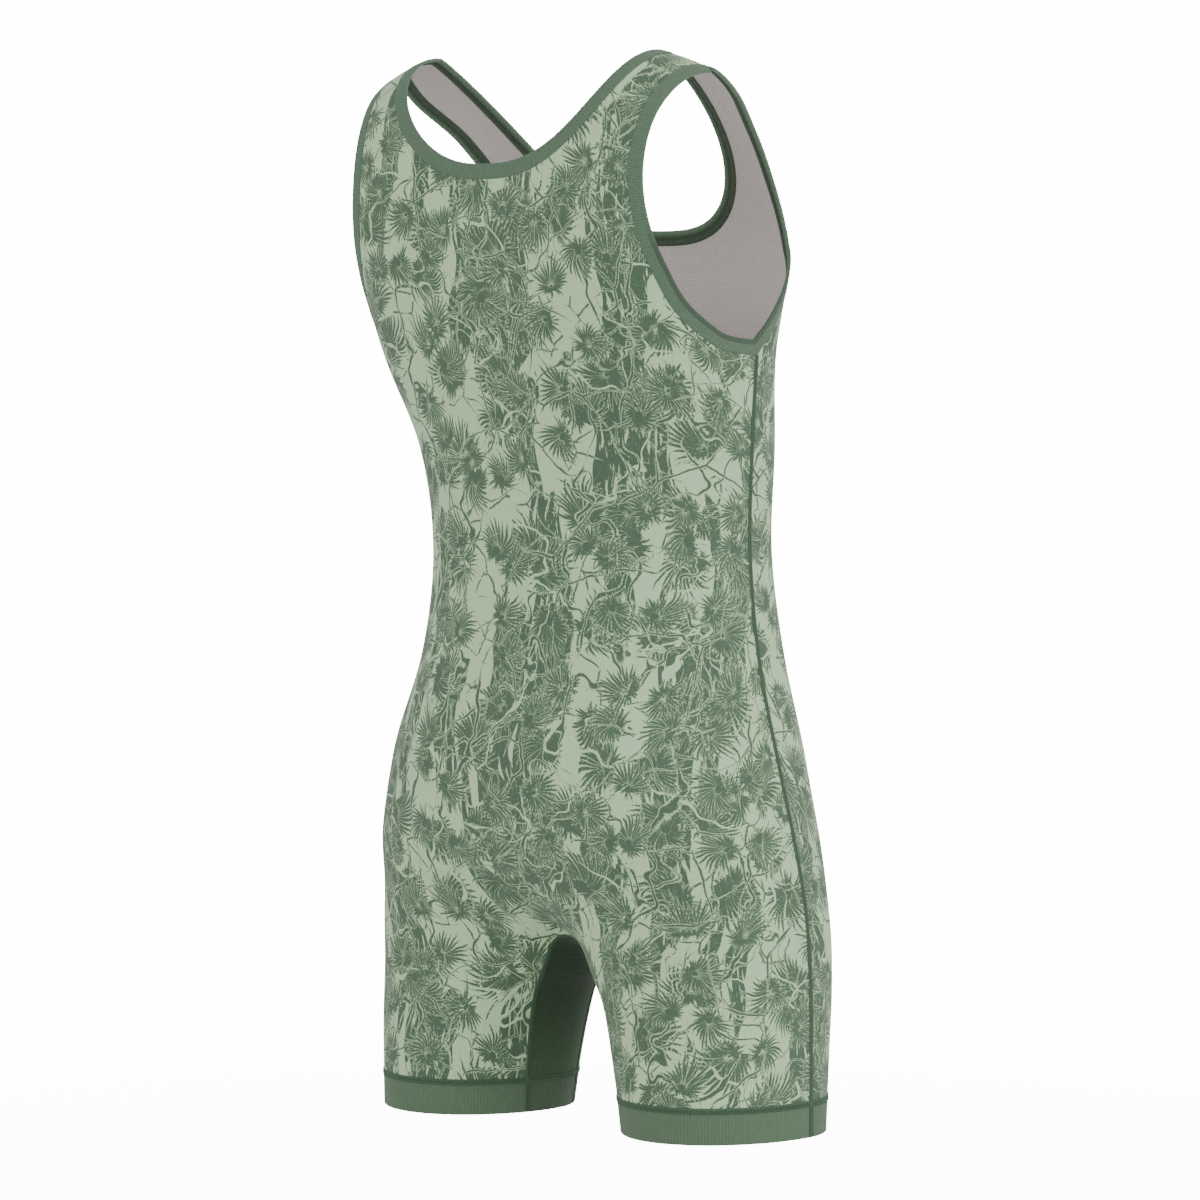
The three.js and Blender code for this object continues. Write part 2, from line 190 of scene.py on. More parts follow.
@dataclass(frozen=True)
class Section:
    """One half superellipse of the garment, or of a leg: its middle, half width, seam, depth and power."""

    middle: Array
    half: Array
    seam_y: Array
    depth: Array
    power: Array
    lean: Array

    def lean_at(self, across: Array) -> Array:
        """How far the section is carried back, from nothing at the side seam to all at the inner leg."""
        return self.lean * (1 - across) / 2


@dataclass(frozen=True)
class WornForm:
    """The shape that the stretched cloth takes, as a surface of a level and an angle round the body."""

    columns: tuple[str, ...] = ("z", "half_width", "seam_y", "back", "front", "back_power", "front_power")
    rows: tuple[tuple[float, ...], ...] = (
        (-100, 173, -49, 121, 86, 5.2, 2.5),
        (-150, 174, -49, 121, 99, 4.0, 2.5),
        (-232, 166, -50, 108, 92, 2.9, 2.25),
        (-300, 152, -63, 103, 92, 2.4, 2.4),
        (-380, 145, -70, 103, 92, 2.3, 2.3),
        (-460, 152, -72, 116, 103, 2.3, 2.3),
        (-540, 174, -68, 131, 113, 2.3, 2.3),
        (-600, 188, -70, 122, 102, 2.3, 2.3),
        (-650, 195, -74, 100, 88, 2.2, 2.2),
        (-704, 198, -76, 90, 79, 2.2, 2.2),
        (-760, 198, -77, 93, 72, 2.1, 2.1),
        (-821, 198, -77, 92, 66, 2.0, 2.0),
    )
    inner_crotch: float = 24.0
    inner_hem: float = 52.0
    parting: float = 2.9
    flare: float = 0.4
    flare_start: float = 0.01
    leg_lean: float = 7.0
    middle_softness: float = 24.0
    rounding: tuple[float, ...] = (-12.0, -8.0, -4.0, 0.0, 4.0, 8.0, 12.0)
    ridge_top: float = 4.0
    ridge_fall: float = 18.0
    ridge_back: float = -10.0
    ridge_at: float = 147.0
    lift: tuple[float, float] = (0.54, 0.54)
    reach: tuple[float, float] = (0.8, 0.06)
    neck_half_width: float = 118.4
    neck_foot: tuple[float, float] = (116.4, 146.4)
    neck_power: tuple[float, float] = (2.4, 2.8)
    armhole_rise: tuple[float, ...] = (0.0, 0.12, 0.25, 0.38, 0.5, 0.6, 0.7, 0.8, 0.9)
    armhole_angle: tuple[tuple[float, ...], tuple[float, ...]] = (
        (90, 77.6, 69.7, 62.1, 56.8, 52.9, 51.1, 51.5, 53.5),
        (90, 89.0, 85.0, 78.7, 71.1, 63.4, 60.8, 63.5, 68.2),
    )
    strap_edge: float = 145.6
    gusset_at_hem: tuple[float, float] = (-38.0, -94.0)

    def column(self, name: str, z: Array) -> Array:
        """A column of the sections' table, read at each height."""
        table = np.array(self.rows, float)
        return through(table[:, 0], table[:, self.columns.index(name)], z)

    def parted(self, z: Array) -> Array:
        """How far the legs have parted: 1 less a power of 1 less the squared share from fork to crotch."""
        return 1 - (1 - share(LEVELS.fork_top, LEVELS.crotch, z) ** 2) ** self.parting

    def inner_reach(self, z: Array) -> Array:
        """How far out a section's inner side lies.

        It goes from the far side of the body to the inner leg as the legs part, and then outwards to the
        hem by a power of the way down, started a little late so that it isn't too sudden.
        """
        start, power = self.flare_start, self.flare
        flare = (share(LEVELS.crotch, LEVELS.hem, z) + start) ** power - start**power
        flare = flare / ((1 + start) ** power - start**power)
        leg = blend(self.inner_crotch, self.inner_hem, flare)
        far, open_ = -self.column("half_width", z), self.parted(z)
        return np.where(z < LEVELS.crotch, leg, far * (1 - open_) + self.inner_crotch * open_)

    def section(self, side: Side, z: Array) -> Section:
        """Works out the sections at some heights.

        The inner reach is the mean over some height, which rounds the crotch. Middle and half width are
        half the sum and half the difference of the outer and inner reach.

        Args:
            side: the back or the front.
            z: the heights.

        Returns:
            The sections' values, one for each height.
        """
        half_width = self.column("half_width", z)
        reaches = [self.inner_reach(np.maximum(z + step, LEVELS.hem)) for step in self.rounding]
        inner = sum(reaches) / len(reaches)
        name = side.name.lower()
        return Section(
            middle=(half_width + inner) / 2,
            half=(half_width - inner) / 2,
            seam_y=self.column("seam_y", z),
            depth=self.column(name, z),
            power=self.column(f"{name}_power", z),
            lean=self.leg_lean * self.parted(z),
        )

    def ring(self, side: Side, z: Array, angle: Array) -> Array:
        """Points of the sections by polar angle, 0 at the crest and a right angle at the side seam.

        The radius is (|sin / half|^p + (cos / depth)^p)^(-1/p). The distance out is softened round the
        middle of the body, x = sqrt(wide^2 - softness^2).

        Args:
            side: the back or the front.
            z: the heights.
            angle: the angles, in radians.

        Returns:
            The points, with x, y and z on the last axis.
        """
        z, angle = np.broadcast_arrays(np.asarray(z, float), np.asarray(angle, float))
        s = self.section(side, z)
        sine, cosine = np.sin(angle), np.maximum(np.cos(angle), 0.0)
        radius = (np.abs(sine / s.half) ** s.power + (cosine / s.depth) ** s.power) ** (-1 / s.power)
        wide = s.middle + radius * sine
        x = np.sqrt(np.maximum(wide**2 - self.middle_softness**2, 0.0))
        y = s.seam_y + s.lean_at((wide - s.middle) / s.half) + side.value * radius * cosine
        return np.stack([x, y, z], axis=-1)

    def angle_at_x(self, side: Side, z: Array, x: Array) -> Array:
        """The polar angle where a section is at a distance x from the middle of the body."""
        s = self.section(side, z)
        across = np.clip((np.hypot(x, self.middle_softness) - s.middle) / s.half, -1.0, 1.0)
        deep = (1 - np.abs(across) ** s.power) ** (1 / s.power)
        return np.arctan2(s.half * across, s.depth * deep)

    def angle_at_y(self, side: Side, z: Array, y: Array, flank: float) -> Array:
        """The polar angle where a section is at y, on its outer (1) or inner (-1) flank.

        The lean depends on the answer, so it is put in again over a few passes.
        """
        s = self.section(side, z)
        across = np.full(np.shape(s.half), flank)
        deep = np.zeros_like(across)
        for _ in range(12):
            deep = np.clip(side.value * (y - s.seam_y - s.lean_at(across)) / s.depth, 0.0, 1.0)
            across = flank * (1 - deep**s.power) ** (1 / s.power)
        return np.arctan2(s.half * across, s.depth * deep)

    def depth_at_x(self, side: Side, z: Array, x: Array) -> Array:
        """Where the section lies front to back at a distance x from the middle."""
        return self.ring(side, z, self.angle_at_x(side, z, x))[..., 1]

    def shoulder(self, side: Side, rise: Array, x: Array) -> Array:
        """Points of the cloth over the shoulder, each on a cubic curve in a plane of constant x.

        The curve leaves the chest section along its slope, and meets the ridge level. The ridge falls and
        moves back with the fourth power of x.

        Args:
            side: the back or the front.
            rise: 0 at the chest section to 1 at the ridge.
            x: the distances from the middle.

        Returns:
            The points, with x, y and z on the last axis.
        """
        foot = LEVELS.dome_foot
        below = 2.0
        foot_y = self.depth_at_x(side, np.full_like(x, foot), x)
        slope = (foot_y - self.depth_at_x(side, np.full_like(x, foot - below), x)) / below
        fall = (x / self.ridge_at) ** 4
        top = self.ridge_top - self.ridge_fall * fall
        ridge_y = self.ridge_back * fall
        climb = side.of(self.lift) * (top - foot)
        level = side.value * side.of(self.reach) * np.abs(foot_y - ridge_y)
        w = ((1 - rise) ** 3, 3 * rise * (1 - rise) ** 2, 3 * rise**2 * (1 - rise), rise**3)
        y = w[0] * foot_y + w[1] * (foot_y + slope * climb) + w[2] * (ridge_y + level) + w[3] * ridge_y
        z = w[0] * foot + w[1] * (foot + climb) + (w[2] + w[3]) * top
        return np.stack([x, y, z], axis=-1)

    def cloth(self, side: Side, level: Array, angle: Array) -> Array:
        """Any point of the cloth by its level, 0 at the ridge or a height below the chest, and its angle."""
        level, angle = np.broadcast_arrays(np.asarray(level, float), np.asarray(angle, float))
        low = self.ring(side, np.minimum(level, LEVELS.dome_foot), angle)
        rise = np.clip(1 - level / LEVELS.dome_foot, 0.0, 1.0)
        return np.where((level > LEVELS.dome_foot)[..., None], self.shoulder(side, rise, low[..., 0]), low)

    def outsideness(self, side: Side, p: Array) -> Array:
        """|across|^p + |deep|^p of each point: 1 on the cloth, more outside it and less inside."""
        s = self.section(side, p[..., 2])
        across = (np.hypot(p[..., 0], self.middle_softness) - s.middle) / s.half
        deep = (p[..., 1] - s.seam_y - s.lean_at(across)) / s.depth
        return np.abs(across) ** s.power + np.abs(deep) ** s.power

    def normal(self, side: Side, level: Array, angle: Array) -> Array:
        """The outward direction of the cloth.

        Below the chest it is the gradient of the outsideness. Over the shoulder it is the cross product of
        the steps across and along the cloth.

        Args:
            side: the back or the front.
            level: the levels.
            angle: the angles, in radians.

        Returns:
            Unit vectors, with x, y and z on the last axis.
        """
        level, angle = np.broadcast_arrays(np.asarray(level, float), np.asarray(angle, float))
        step = 0.5
        p = self.cloth(side, level, angle)
        shifts = step * np.eye(3)
        change = [self.outsideness(side, p + d) - self.outsideness(side, p - d) for d in shifts]
        rise = np.clip(1 - level / LEVELS.dome_foot, 0.0, 1.0)
        x = p[..., 0]
        high, low = np.minimum(rise + 0.01, 1.0), np.maximum(rise - 0.01, 0.0)
        along = self.shoulder(side, high, x) - self.shoulder(side, low, x)
        across = self.shoulder(side, rise, x + step) - self.shoulder(side, rise, np.maximum(x - step, 0.0))
        over = -side.value * np.cross(across, along)
        return unit(np.where((level > LEVELS.dome_foot)[..., None], over, np.stack(change, axis=-1)))

    def gusset_seam_y(self, side: Side, z: Array) -> Array:
        """The gusset seam front to back: a straight line from the top of its arch to the hem."""
        top = self.depth_at_x(side, np.array(LEVELS.arch_top), np.array(0.0))
        return blend(top, side.of(self.gusset_at_hem), share(LEVELS.arch_top, LEVELS.hem, z))

    def inner_angle(self, side: Side, level: Array) -> Array:
        """The inner edge of a panel: the neck seam, then the middle of the body, then the gusset seam.

        The neck seam is half a superellipse of the level and x.
        """
        z = np.minimum(level, LEVELS.dome_foot)
        foot, power = side.of(self.neck_foot), side.of(self.neck_power)
        x = self.neck_half_width * (1 - np.clip(-level / foot, 0.0, 1.0) ** power) ** (1 / power)
        at_gusset = self.angle_at_y(side, z, self.gusset_seam_y(side, z), -1.0)
        return np.where(level >= LEVELS.arch_top, self.angle_at_x(side, z, x), at_gusset)

    def outer_angle(self, side: Side, level: Array) -> Array:
        """The outer edge of a panel: the armhole seam by its table, then the side seam."""
        ridge = self.angle_at_x(side, np.array(LEVELS.dome_foot), np.array(self.strap_edge))
        rises = np.array([*self.armhole_rise, 1.0])
        angles = np.array([*side.of(self.armhole_angle), math.degrees(float(ridge))])
        rise = np.sqrt(np.clip(1 - level / LEVELS.armhole_foot, 0.0, 1.0))
        at_armhole = np.minimum(np.radians(through(rises, angles, rise)), QUARTER)
        return np.where(level > LEVELS.armhole_foot, at_armhole, QUARTER)


FORM = WornForm()


@dataclass(frozen=True)
class Line:
    """Points along a seam or an edge, and the cloth's outward direction at each."""

    points: Array
    normals: Array
    closed: bool = False

    def even(self, spacing: float) -> "Line":
        """The same line with its points a given distance apart, as nearly as its length allows."""
        points, normals = self.points, self.normals
        if self.closed:
            points, normals = (looped(rows) for rows in (points, normals))
        run = lengths_along(points)
        count = max(int(round(run[-1] / spacing)), 2)
        want = np.linspace(0, run[-1], count + 1)[:count + (not self.closed)]
        return Line(between(want, run, points), unit(between(want, run, normals)), self.closed)

    def ahead(self) -> Array:
        """The unit direction along the line at each point."""
        if self.closed:
            return unit(np.roll(self.points, -1, axis=0) - np.roll(self.points, 1, axis=0))
        return unit(np.gradient(self.points, axis=0))

    def mirrored(self) -> "Line":
        """The line on the other side of the body."""
        return Line(self.points * MIRROR, self.normals * MIRROR, self.closed)

    def backwards(self) -> "Line":
        """The line from its end to its start."""
        return Line(self.points[::-1], self.normals[::-1], self.closed)


def on_cloth(side: Side, level: Array, angle: Array) -> Line:
    """A line over the cloth through the given levels and angles."""
    level, angle = np.broadcast_arrays(level, angle)
    return Line(FORM.cloth(side, level, angle), FORM.normal(side, level, angle))


def joined(*lines: Line) -> Line:
    """Lines end to end, without the points that they share."""
    points = np.concatenate([line.points for line in lines])
    normals = np.concatenate([line.normals for line in lines])
    keep = np.concatenate([[True], np.linalg.norm(np.diff(points, axis=0), axis=1) > 1e-6])
    return Line(points[keep], normals[keep])


def mesh_object(name: str, points: Array, faces: list[Array], slots: list[int], uv: Array | None,
                normals: Array | None = None) -> bpy.types.Object:
    """Makes a piece at the origin, its place in its mesh.

    Args:
        name: the piece's name.
        points: the vertices, in millimetres.
        faces: arrays of faces, one for each of the piece's finishes.
        slots: the finish of each array of faces.
        uv: a place on the cloth for each vertex, in millimetres, or None.
        normals: the direction that each vertex is shaded with, or None for smooth faces.

    Returns:
        The piece.
    """
    mesh = bpy.data.meshes.new(name)
    listed = [f for group in faces for f in group.tolist()]
    mesh.from_pydata((points * MM).tolist(), [], listed)
    material_index = np.concatenate([np.full(len(group), slot) for group, slot in zip(faces, slots)])
    mesh.polygons.foreach_set("material_index", material_index.astype(np.int32))
    mesh.polygons.foreach_set("use_smooth", np.ones(len(mesh.polygons), bool))
    if uv is not None:
        layer = mesh.uv_layers.new(name="cloth")
        corner = np.zeros(len(mesh.loops), np.int32)
        mesh.loops.foreach_get("vertex_index", corner)
        layer.data.foreach_set("uv", uv[corner].astype(np.float32).ravel())
    if normals is not None:
        mesh.normals_split_custom_set_from_vertices(normals.tolist())
    mesh.update()
    piece = bpy.data.objects.new(name, mesh)
    bpy.context.scene.collection.objects.link(piece)
    return piece


def grid_faces(index: Array) -> Array:
    """Four-cornered faces between the rows and columns of a grid of vertex numbers."""
    corners = (index[:-1, :-1], index[1:, :-1], index[1:, 1:], index[:-1, 1:])
    return np.stack(corners, axis=-1).reshape(-1, 4)


def free_edges(faces: Array) -> Array:
    """The edges that only one face has, in that face's direction."""
    start, end = faces.ravel(), np.roll(faces, -1, axis=1).ravel()
    count = int(faces.max()) + 1
    lone = ~np.isin(start * count + end, end * count + start)
    return np.stack([start[lone], end[lone]], axis=-1)


def wall(grids: list[tuple[Array, Array, Array, bool]], thickness: float) -> tuple[Array, ...]:
    """Gives cloth its thickness.

    Grids of outer points are welded where they meet. The inner points lie one thickness under the outer
    ones, and each free edge gets a strip between the two.

    Args:
        grids: points, normals, places on the cloth and whether the faces are turned over, for each grid.
        thickness: the wall, in millimetres.

    Returns:
        Points, shading directions, places on the cloth, outer faces and the other faces.
    """
    points = np.concatenate([g[0].reshape(-1, 3) for g in grids])
    normals = np.concatenate([g[1].reshape(-1, 3) for g in grids])
    uv = np.concatenate([g[2].reshape(-1, 2) for g in grids])
    faces, first = [], 0
    for grid, _, _, turned in grids:
        index = first + np.arange(grid.shape[0] * grid.shape[1]).reshape(grid.shape[:2])
        made = grid_faces(index)
        faces.append(made[:, ::-1] if turned else made)
        first += index.size
    _, kept, weld = np.unique(np.round(points, 3), axis=0, return_index=True, return_inverse=True)
    outer = weld.ravel()[np.concatenate(faces)]
    points, normals, uv = points[kept], normals[kept], uv[kept]
    count = len(points)
    edges = free_edges(outer)
    rim = np.stack([edges[:, 1], edges[:, 0], count + edges[:, 0], count + edges[:, 1]], axis=-1)
    inner = count + outer[:, ::-1]
    both = np.concatenate([points, points - normals * thickness])
    shading = np.concatenate([normals, -normals])
    return both, shading, np.concatenate([uv, uv]), outer, np.concatenate([inner, rim])


def swept(line: Line, profile: Array, sideways: Array | None = None) -> tuple[Array, Array, Array]:
    """Carries a closed profile along a line.

    Each profile point lies its first value to the side and its second value along the cloth's normal. An
    open line gets a flat end at each end.

    Args:
        line: the line.
        profile: the profile's points, one to a row.
        sideways: the sideways direction at each point, or None for normal cross direction.

    Returns:
        Points, faces of four corners and places on the cloth (along the line, and round the profile).
    """
    side = unit(np.cross(line.normals, line.ahead())) if sideways is None else sideways
    grid = (line.points[:, None] + profile[None, :, :1] * side[:, None]
            + profile[None, :, 1:] * line.normals[:, None])
    stations, sides = grid.shape[:2]
    index = np.arange(stations * sides).reshape(stations, sides)
    index = looped(index, 1)
    if line.closed:
        index = looped(index)
    run = lengths_along(looped(profile))[:-1]
    uv = crossed(lengths_along(line.points)[:, None], run)
    return grid.reshape(-1, 3), grid_faces(index), uv.reshape(-1, 2)


def end_caps(stations: int, sides: int) -> Array:
    """Fans of four-cornered faces that close the two ends of an open sweep with an even number of sides."""
    k = np.arange(1, sides // 2)
    first = np.stack([k - 1, k, sides - k - 1, (sides - k) % sides], axis=-1)
    return np.concatenate([first, (stations - 1) * sides + first[:, ::-1]])


def linear(colour: str) -> tuple[float, float, float, float]:
    """Turns an sRGB hex value such as #B9C7AE into the linear colour that a shader takes."""
    parts = [int(colour[i:i + 2], 16) / 255 for i in (1, 3, 5)]
    return (*[c / 12.92 if c <= 0.04045 else ((c + 0.055) / 1.055) ** 2.4 for c in parts], 1.0)


class Tree:
    """The nodes of a material or of the surroundings."""

    FLAT = {"TexNoise": {"noise_dimensions": "2D"}, "TexVoronoi": {"voronoi_dimensions": "2D"},
            "TexWhiteNoise": {"noise_dimensions": "1D"}}  # the cloth's places are flat

    def __init__(self, owner: bpy.types.Material | bpy.types.World) -> None:
        """Starts with no nodes."""
        self.owner = owner
        self.owner.use_nodes = True
        self.nodes = self.owner.node_tree.nodes
        self.nodes.clear()

    def add(self, kind: str, *values: object, out: int | str = 0, **settings: object) -> Socket:
        """Adds a node with its settings and links.

        Args:
            kind: the node's type, without ShaderNode, and its operation after a dot where it has one.
            values: its inputs in order, each a socket, a number or vector, or None to leave it.
            out: the output that is handed back.
            settings: the node's own settings, and inputs by name with a capital.

        Returns:
            The output socket.
        """
        name, _, operation = kind.partition(".")
        node = self.nodes.new(f"ShaderNode{name}")
        inputs = dict(enumerate(values))
        if operation:
            settings["operation"] = operation
        for key, value in {**self.FLAT.get(name, {}), **settings}.items():
            if key[0].isupper():
                inputs[key.replace("_", " ")] = value
            else:
                setattr(node, key, value)
        for key, value in inputs.items():
            if isinstance(value, Socket):
                self.owner.node_tree.links.new(value, node.inputs[key])
            elif value is not None:
                node.inputs[key].default_value = value
        return node.outputs[out] if node.outputs else None

    def smooth(self, value: Socket, low: float, high: float) -> Socket:
        """A soft step from 0 at low to 1 at high."""
        return self.add("MapRange", value, low, high, 0.0, 1.0, interpolation_type="SMOOTHSTEP")


@dataclass(frozen=True)
class MeadowPrint:
    """A two-tone meadow of reeds, willow leaves and crossing stems, drawn by distances in millimetres.

    Each motif is a field: how far a place is inside it, and less than nothing outside it. Each one is laid
    over those before it with a pale rim, and the whole is broken up by a fine grain. Stems are given by
    their angle from level, in degrees, the spacing of their rows and their half width.
    """

    seed: float
    bed_pitch: float = 52.0
    grain: float = 0.75
    soft: float = 0.42
    bed_level: float = 0.525
    blade_level: float = 0.37
    jitter: float = 0.9
    curl: float = 0.07
    heart: float = 0.13
    vein: float = 2.2
    missing: float = 0.12
    wander: float = 1.6
    pale_stems: tuple[tuple[float, float, float], ...] = ((62.0, 66.0, 1.5), (-28.0, 57.0, 1.3))
    dark_stems: tuple[tuple[float, float, float], ...] = (
        (24.0, 46.0, 1.0),
        (-57.0, 52.0, 1.1),
        (78.0, 43.0, 1.4),
    )

    def over(self, tree: Tree, under: Socket, motif: Socket, rim: float) -> Socket:
        """Lays a motif over what is there: the greater of it and the rest, the rest cut back by the rim."""
        clear = tree.add("Math.MULTIPLY_ADD", motif, -1.0, -rim)
        return tree.add("Math.MAXIMUM", tree.add("Math.MINIMUM", under, clear), motif)

    def sprays(self, tree: Tree, place: Socket, pitch: float, leaves: int, length: float,
               width: float) -> Socket:
        """Fans of pointed leaves, one in each cell of a jittered net.

        With r and t the polar place round the cell's middle, t turned with r so that the leaves curl, each
        of an even number of wedges of t holds one leaf. With q = r / its own length, its half width is
        4 width q (1 - q), and a dark heart joins the leaves. The field is the lesser of how far inside
        that a place is, and of its way from the leaf's line, which leaves a faint vein. Leaves are longer
        towards one side of the fan.

        Args:
            tree: the material's nodes.
            place: where on the cloth.
            pitch: the net's spacing.
            leaves: leaves to a full turn.
            length: the longest leaf.
            width: the broadest half width.

        Returns:
            The field.
        """
        add = tree.add
        net = dict(Scale=1 / pitch, Randomness=self.jitter)
        middle = add("TexVoronoi", place, out="Position", **net)
        chance = add("TexVoronoi", place, out="Color", **net)
        first, second = (add("SeparateColor", chance, out=k) for k in (0, 1))
        local = add("VectorMath.SUBTRACT", place, middle)
        r = add("VectorMath.LENGTH", local, out="Value")
        x, y = (add("SeparateXYZ", local, out=k) for k in (0, 1))
        turn = add("Math.ARCTAN2", y, x)
        curl = add("Math.MULTIPLY", add("Math.ADD", second, -0.5), self.curl)
        bent = add("Math.MULTIPLY_ADD", curl, r, turn)
        wedges = add("Math.MULTIPLY_ADD", bent, leaves / TURN, add("Math.MULTIPLY", first, 9.0))
        number = add("Math.FLOOR", wedges)
        own = add("TexWhiteNoise", None, add("Math.MULTIPLY_ADD", second, 91.0, number))
        line = add("Math.MULTIPLY_ADD", own, 0.4, 0.3)
        off = add("Math.ABSOLUTE", add("Math.SUBTRACT", add("Math.FRACT", wedges), line))
        across = add("Math.MULTIPLY", add("Math.MULTIPLY", off, TURN / leaves), r)
        facing = add("Math.SINE", add("Math.MULTIPLY_ADD", first, 6.3, turn))
        reach = add("Math.ADD", add("Math.MULTIPLY_ADD", own, 0.3, 0.42), add("Math.MULTIPLY", facing, 0.28))
        q = add("Math.DIVIDE", r, add("Math.MULTIPLY", reach, length), use_clamp=True)
        bulge = add("Math.MULTIPLY", q, add("Math.SUBTRACT", 1.0, q))
        half = add("Math.MULTIPLY_ADD", bulge, 4 * width, -0.4)
        inside = add("Math.SUBTRACT", half, across)
        heart = add("Math.MULTIPLY_ADD", second, self.heart * length, add("Math.MULTIPLY", r, -1.0))
        inside = add("Math.MAXIMUM", inside, heart)
        rib = add("Math.MULTIPLY_ADD", across, self.vein, add("Math.MAXIMUM", heart, 0.25))
        missing = add("Math.LESS_THAN", second, self.missing)
        return add("Math.MULTIPLY_ADD", missing, -20.0, add("Math.MINIMUM", inside, rib))

    def stems(self, tree: Tree, place: Socket, turn: float, pitch: float, width: float) -> Socket:
        """Long thin wandering stems that cross the cloth at an angle.

        The turned place is cut into rows, each with one stem at a height that wanders with a slow noise.
        The field is the half width less the way to the stem, and falls where the stem breaks off.

        Args:
            tree: the material's nodes.
            place: where on the cloth.
            turn: the stems' angle from level, in degrees.
            pitch: the spacing of the rows.
            width: the half width.

        Returns:
            The field.
        """
        add = tree.add
        turned = add("VectorRotate", place, (0, 0, 0), (0, 0, 1), math.radians(turn))
        x, y = (add("SeparateXYZ", turned, out=k) for k in (0, 1))
        wander = add("TexNoise", turned, Scale=1 / 62, Detail=2.5)
        row = add("Math.MULTIPLY_ADD", y, 1 / pitch, add("Math.MULTIPLY", wander, self.wander))
        number = add("Math.FLOOR", row)
        own = add("TexWhiteNoise", None, add("Math.ADD", number, turn))
        line = add("Math.MULTIPLY_ADD", own, 0.6, 0.2)
        off = add("Math.ABSOLUTE", add("Math.SUBTRACT", add("Math.FRACT", row), line))
        along = add("CombineXYZ", add("Math.MULTIPLY", x, 1 / 55), add("Math.MULTIPLY", number, 5.3), 0.0)
        thick = add("TexNoise", along, Scale=1.0, Detail=2.0)
        half = add("Math.MULTIPLY_ADD", thick, width * 7, -0.4 * width * 7)
        half = add("Math.MINIMUM", half, width)
        return add("Math.MULTIPLY_ADD", off, -pitch, half)

    def twigs(self, tree: Tree, place: Socket, pitch: float, width: float, bare: float) -> Socket:
        """A forking net of twigs: the half width less the way to the edges of a jittered net, in patches."""
        add = tree.add
        net = dict(Scale=1 / pitch, Randomness=1.0, feature="DISTANCE_TO_EDGE")
        edge = add("TexVoronoi", place, out="Distance", **net)
        patch = add("TexNoise", place, Scale=1 / pitch, Detail=2.0)
        half = add("Math.MULTIPLY_ADD", patch, 9.0, -9.0 * bare)
        half = add("Math.MINIMUM", half, width)
        return add("Math.MULTIPLY_ADD", edge, -pitch, half)

    def reeds(self, tree: Tree, place: Socket) -> Socket:
        """Upright reed beds: a slow noise drawn out upwards, cut by a fine one drawn out likewise."""
        add = tree.add
        slow = add("VectorMath.MULTIPLY", place, (1 / self.bed_pitch, 1 / 300, 1.0))
        bed = add("TexNoise", slow, Scale=1.0, Detail=2.5)
        fine = add("VectorMath.MULTIPLY", place, (1 / 3.6, 1 / 22, 1.0))
        blade = add("TexNoise", fine, Scale=1.0, Detail=3.0)
        inside = add("Math.MULTIPLY_ADD", bed, 90.0, -90.0 * self.bed_level)
        cut = add("Math.MULTIPLY_ADD", blade, 14.0, -14.0 * self.blade_level)
        return add("Math.MINIMUM", inside, cut)

    def bent(self, tree: Tree, place: Socket, size: float, by: float) -> Socket:
        """The place pushed about by a noise of the given size, flat on the cloth."""
        push = tree.add("TexNoise", place, out="Color", Scale=1 / size, Detail=2.0)
        push = tree.add("VectorMath.SUBTRACT", push, (0.5, 0.5, 0.5))
        return tree.add("VectorMath.MULTIPLY_ADD", push, (by, by, 0.0), place)

    def cover(self, tree: Tree, cloth: Socket) -> Socket:
        """The share of dark ink at each place.

        Args:
            tree: the material's nodes.
            cloth: the place on the cloth, in millimetres.

        Returns:
            0 on the pale ground to 1 on the dark motifs.
        """
        place = tree.add("VectorMath.ADD", cloth, (self.seed, 0.37 * self.seed, 0.0))
        swayed = self.bent(tree, place, size=70.0, by=20.0)
        frayed = self.bent(tree, swayed, size=11.0, by=2.2)
        apart = tree.add("VectorMath.ADD", frayed, (19.0, 27.0, 0.0))
        drawn = self.reeds(tree, self.bent(tree, place, size=90.0, by=30.0))
        undergrowth = self.twigs(tree, frayed, pitch=23.0, width=0.7, bare=0.47)
        drawn = self.over(tree, drawn, undergrowth, rim=0.3)
        fans = self.sprays(tree, frayed, pitch=50.0, leaves=37, length=41.0, width=1.7)
        drawn = self.over(tree, drawn, fans, rim=0.2)
        for stem in self.pale_stems:
            pale = tree.add("Math.MULTIPLY", self.stems(tree, swayed, *stem), -1.0)
            drawn = tree.add("Math.MINIMUM", drawn, pale)
        for stem in self.dark_stems:
            drawn = self.over(tree, drawn, self.stems(tree, swayed, *stem), rim=0.6)
        fans = self.sprays(tree, apart, pitch=44.0, leaves=31, length=30.0, width=1.4)
        drawn = self.over(tree, drawn, fans, rim=0.2)
        branches = self.twigs(tree, apart, pitch=52.0, width=0.8, bare=0.52)
        drawn = self.over(tree, drawn, branches, rim=0.4)
        speck = tree.add("TexNoise", place, Scale=1 / 1.7, Detail=1.5)
        patch = tree.add("TexNoise", place, Scale=1 / 24, Detail=1.0)
        rough = tree.add("Math.MULTIPLY_ADD", patch, 4 * self.grain, -0.8 * self.grain)
        speck = tree.add("Math.MULTIPLY", tree.add("Math.ADD", speck, -0.5), rough)
        return tree.smooth(tree.add("Math.ADD", drawn, speck), -self.soft, self.soft)


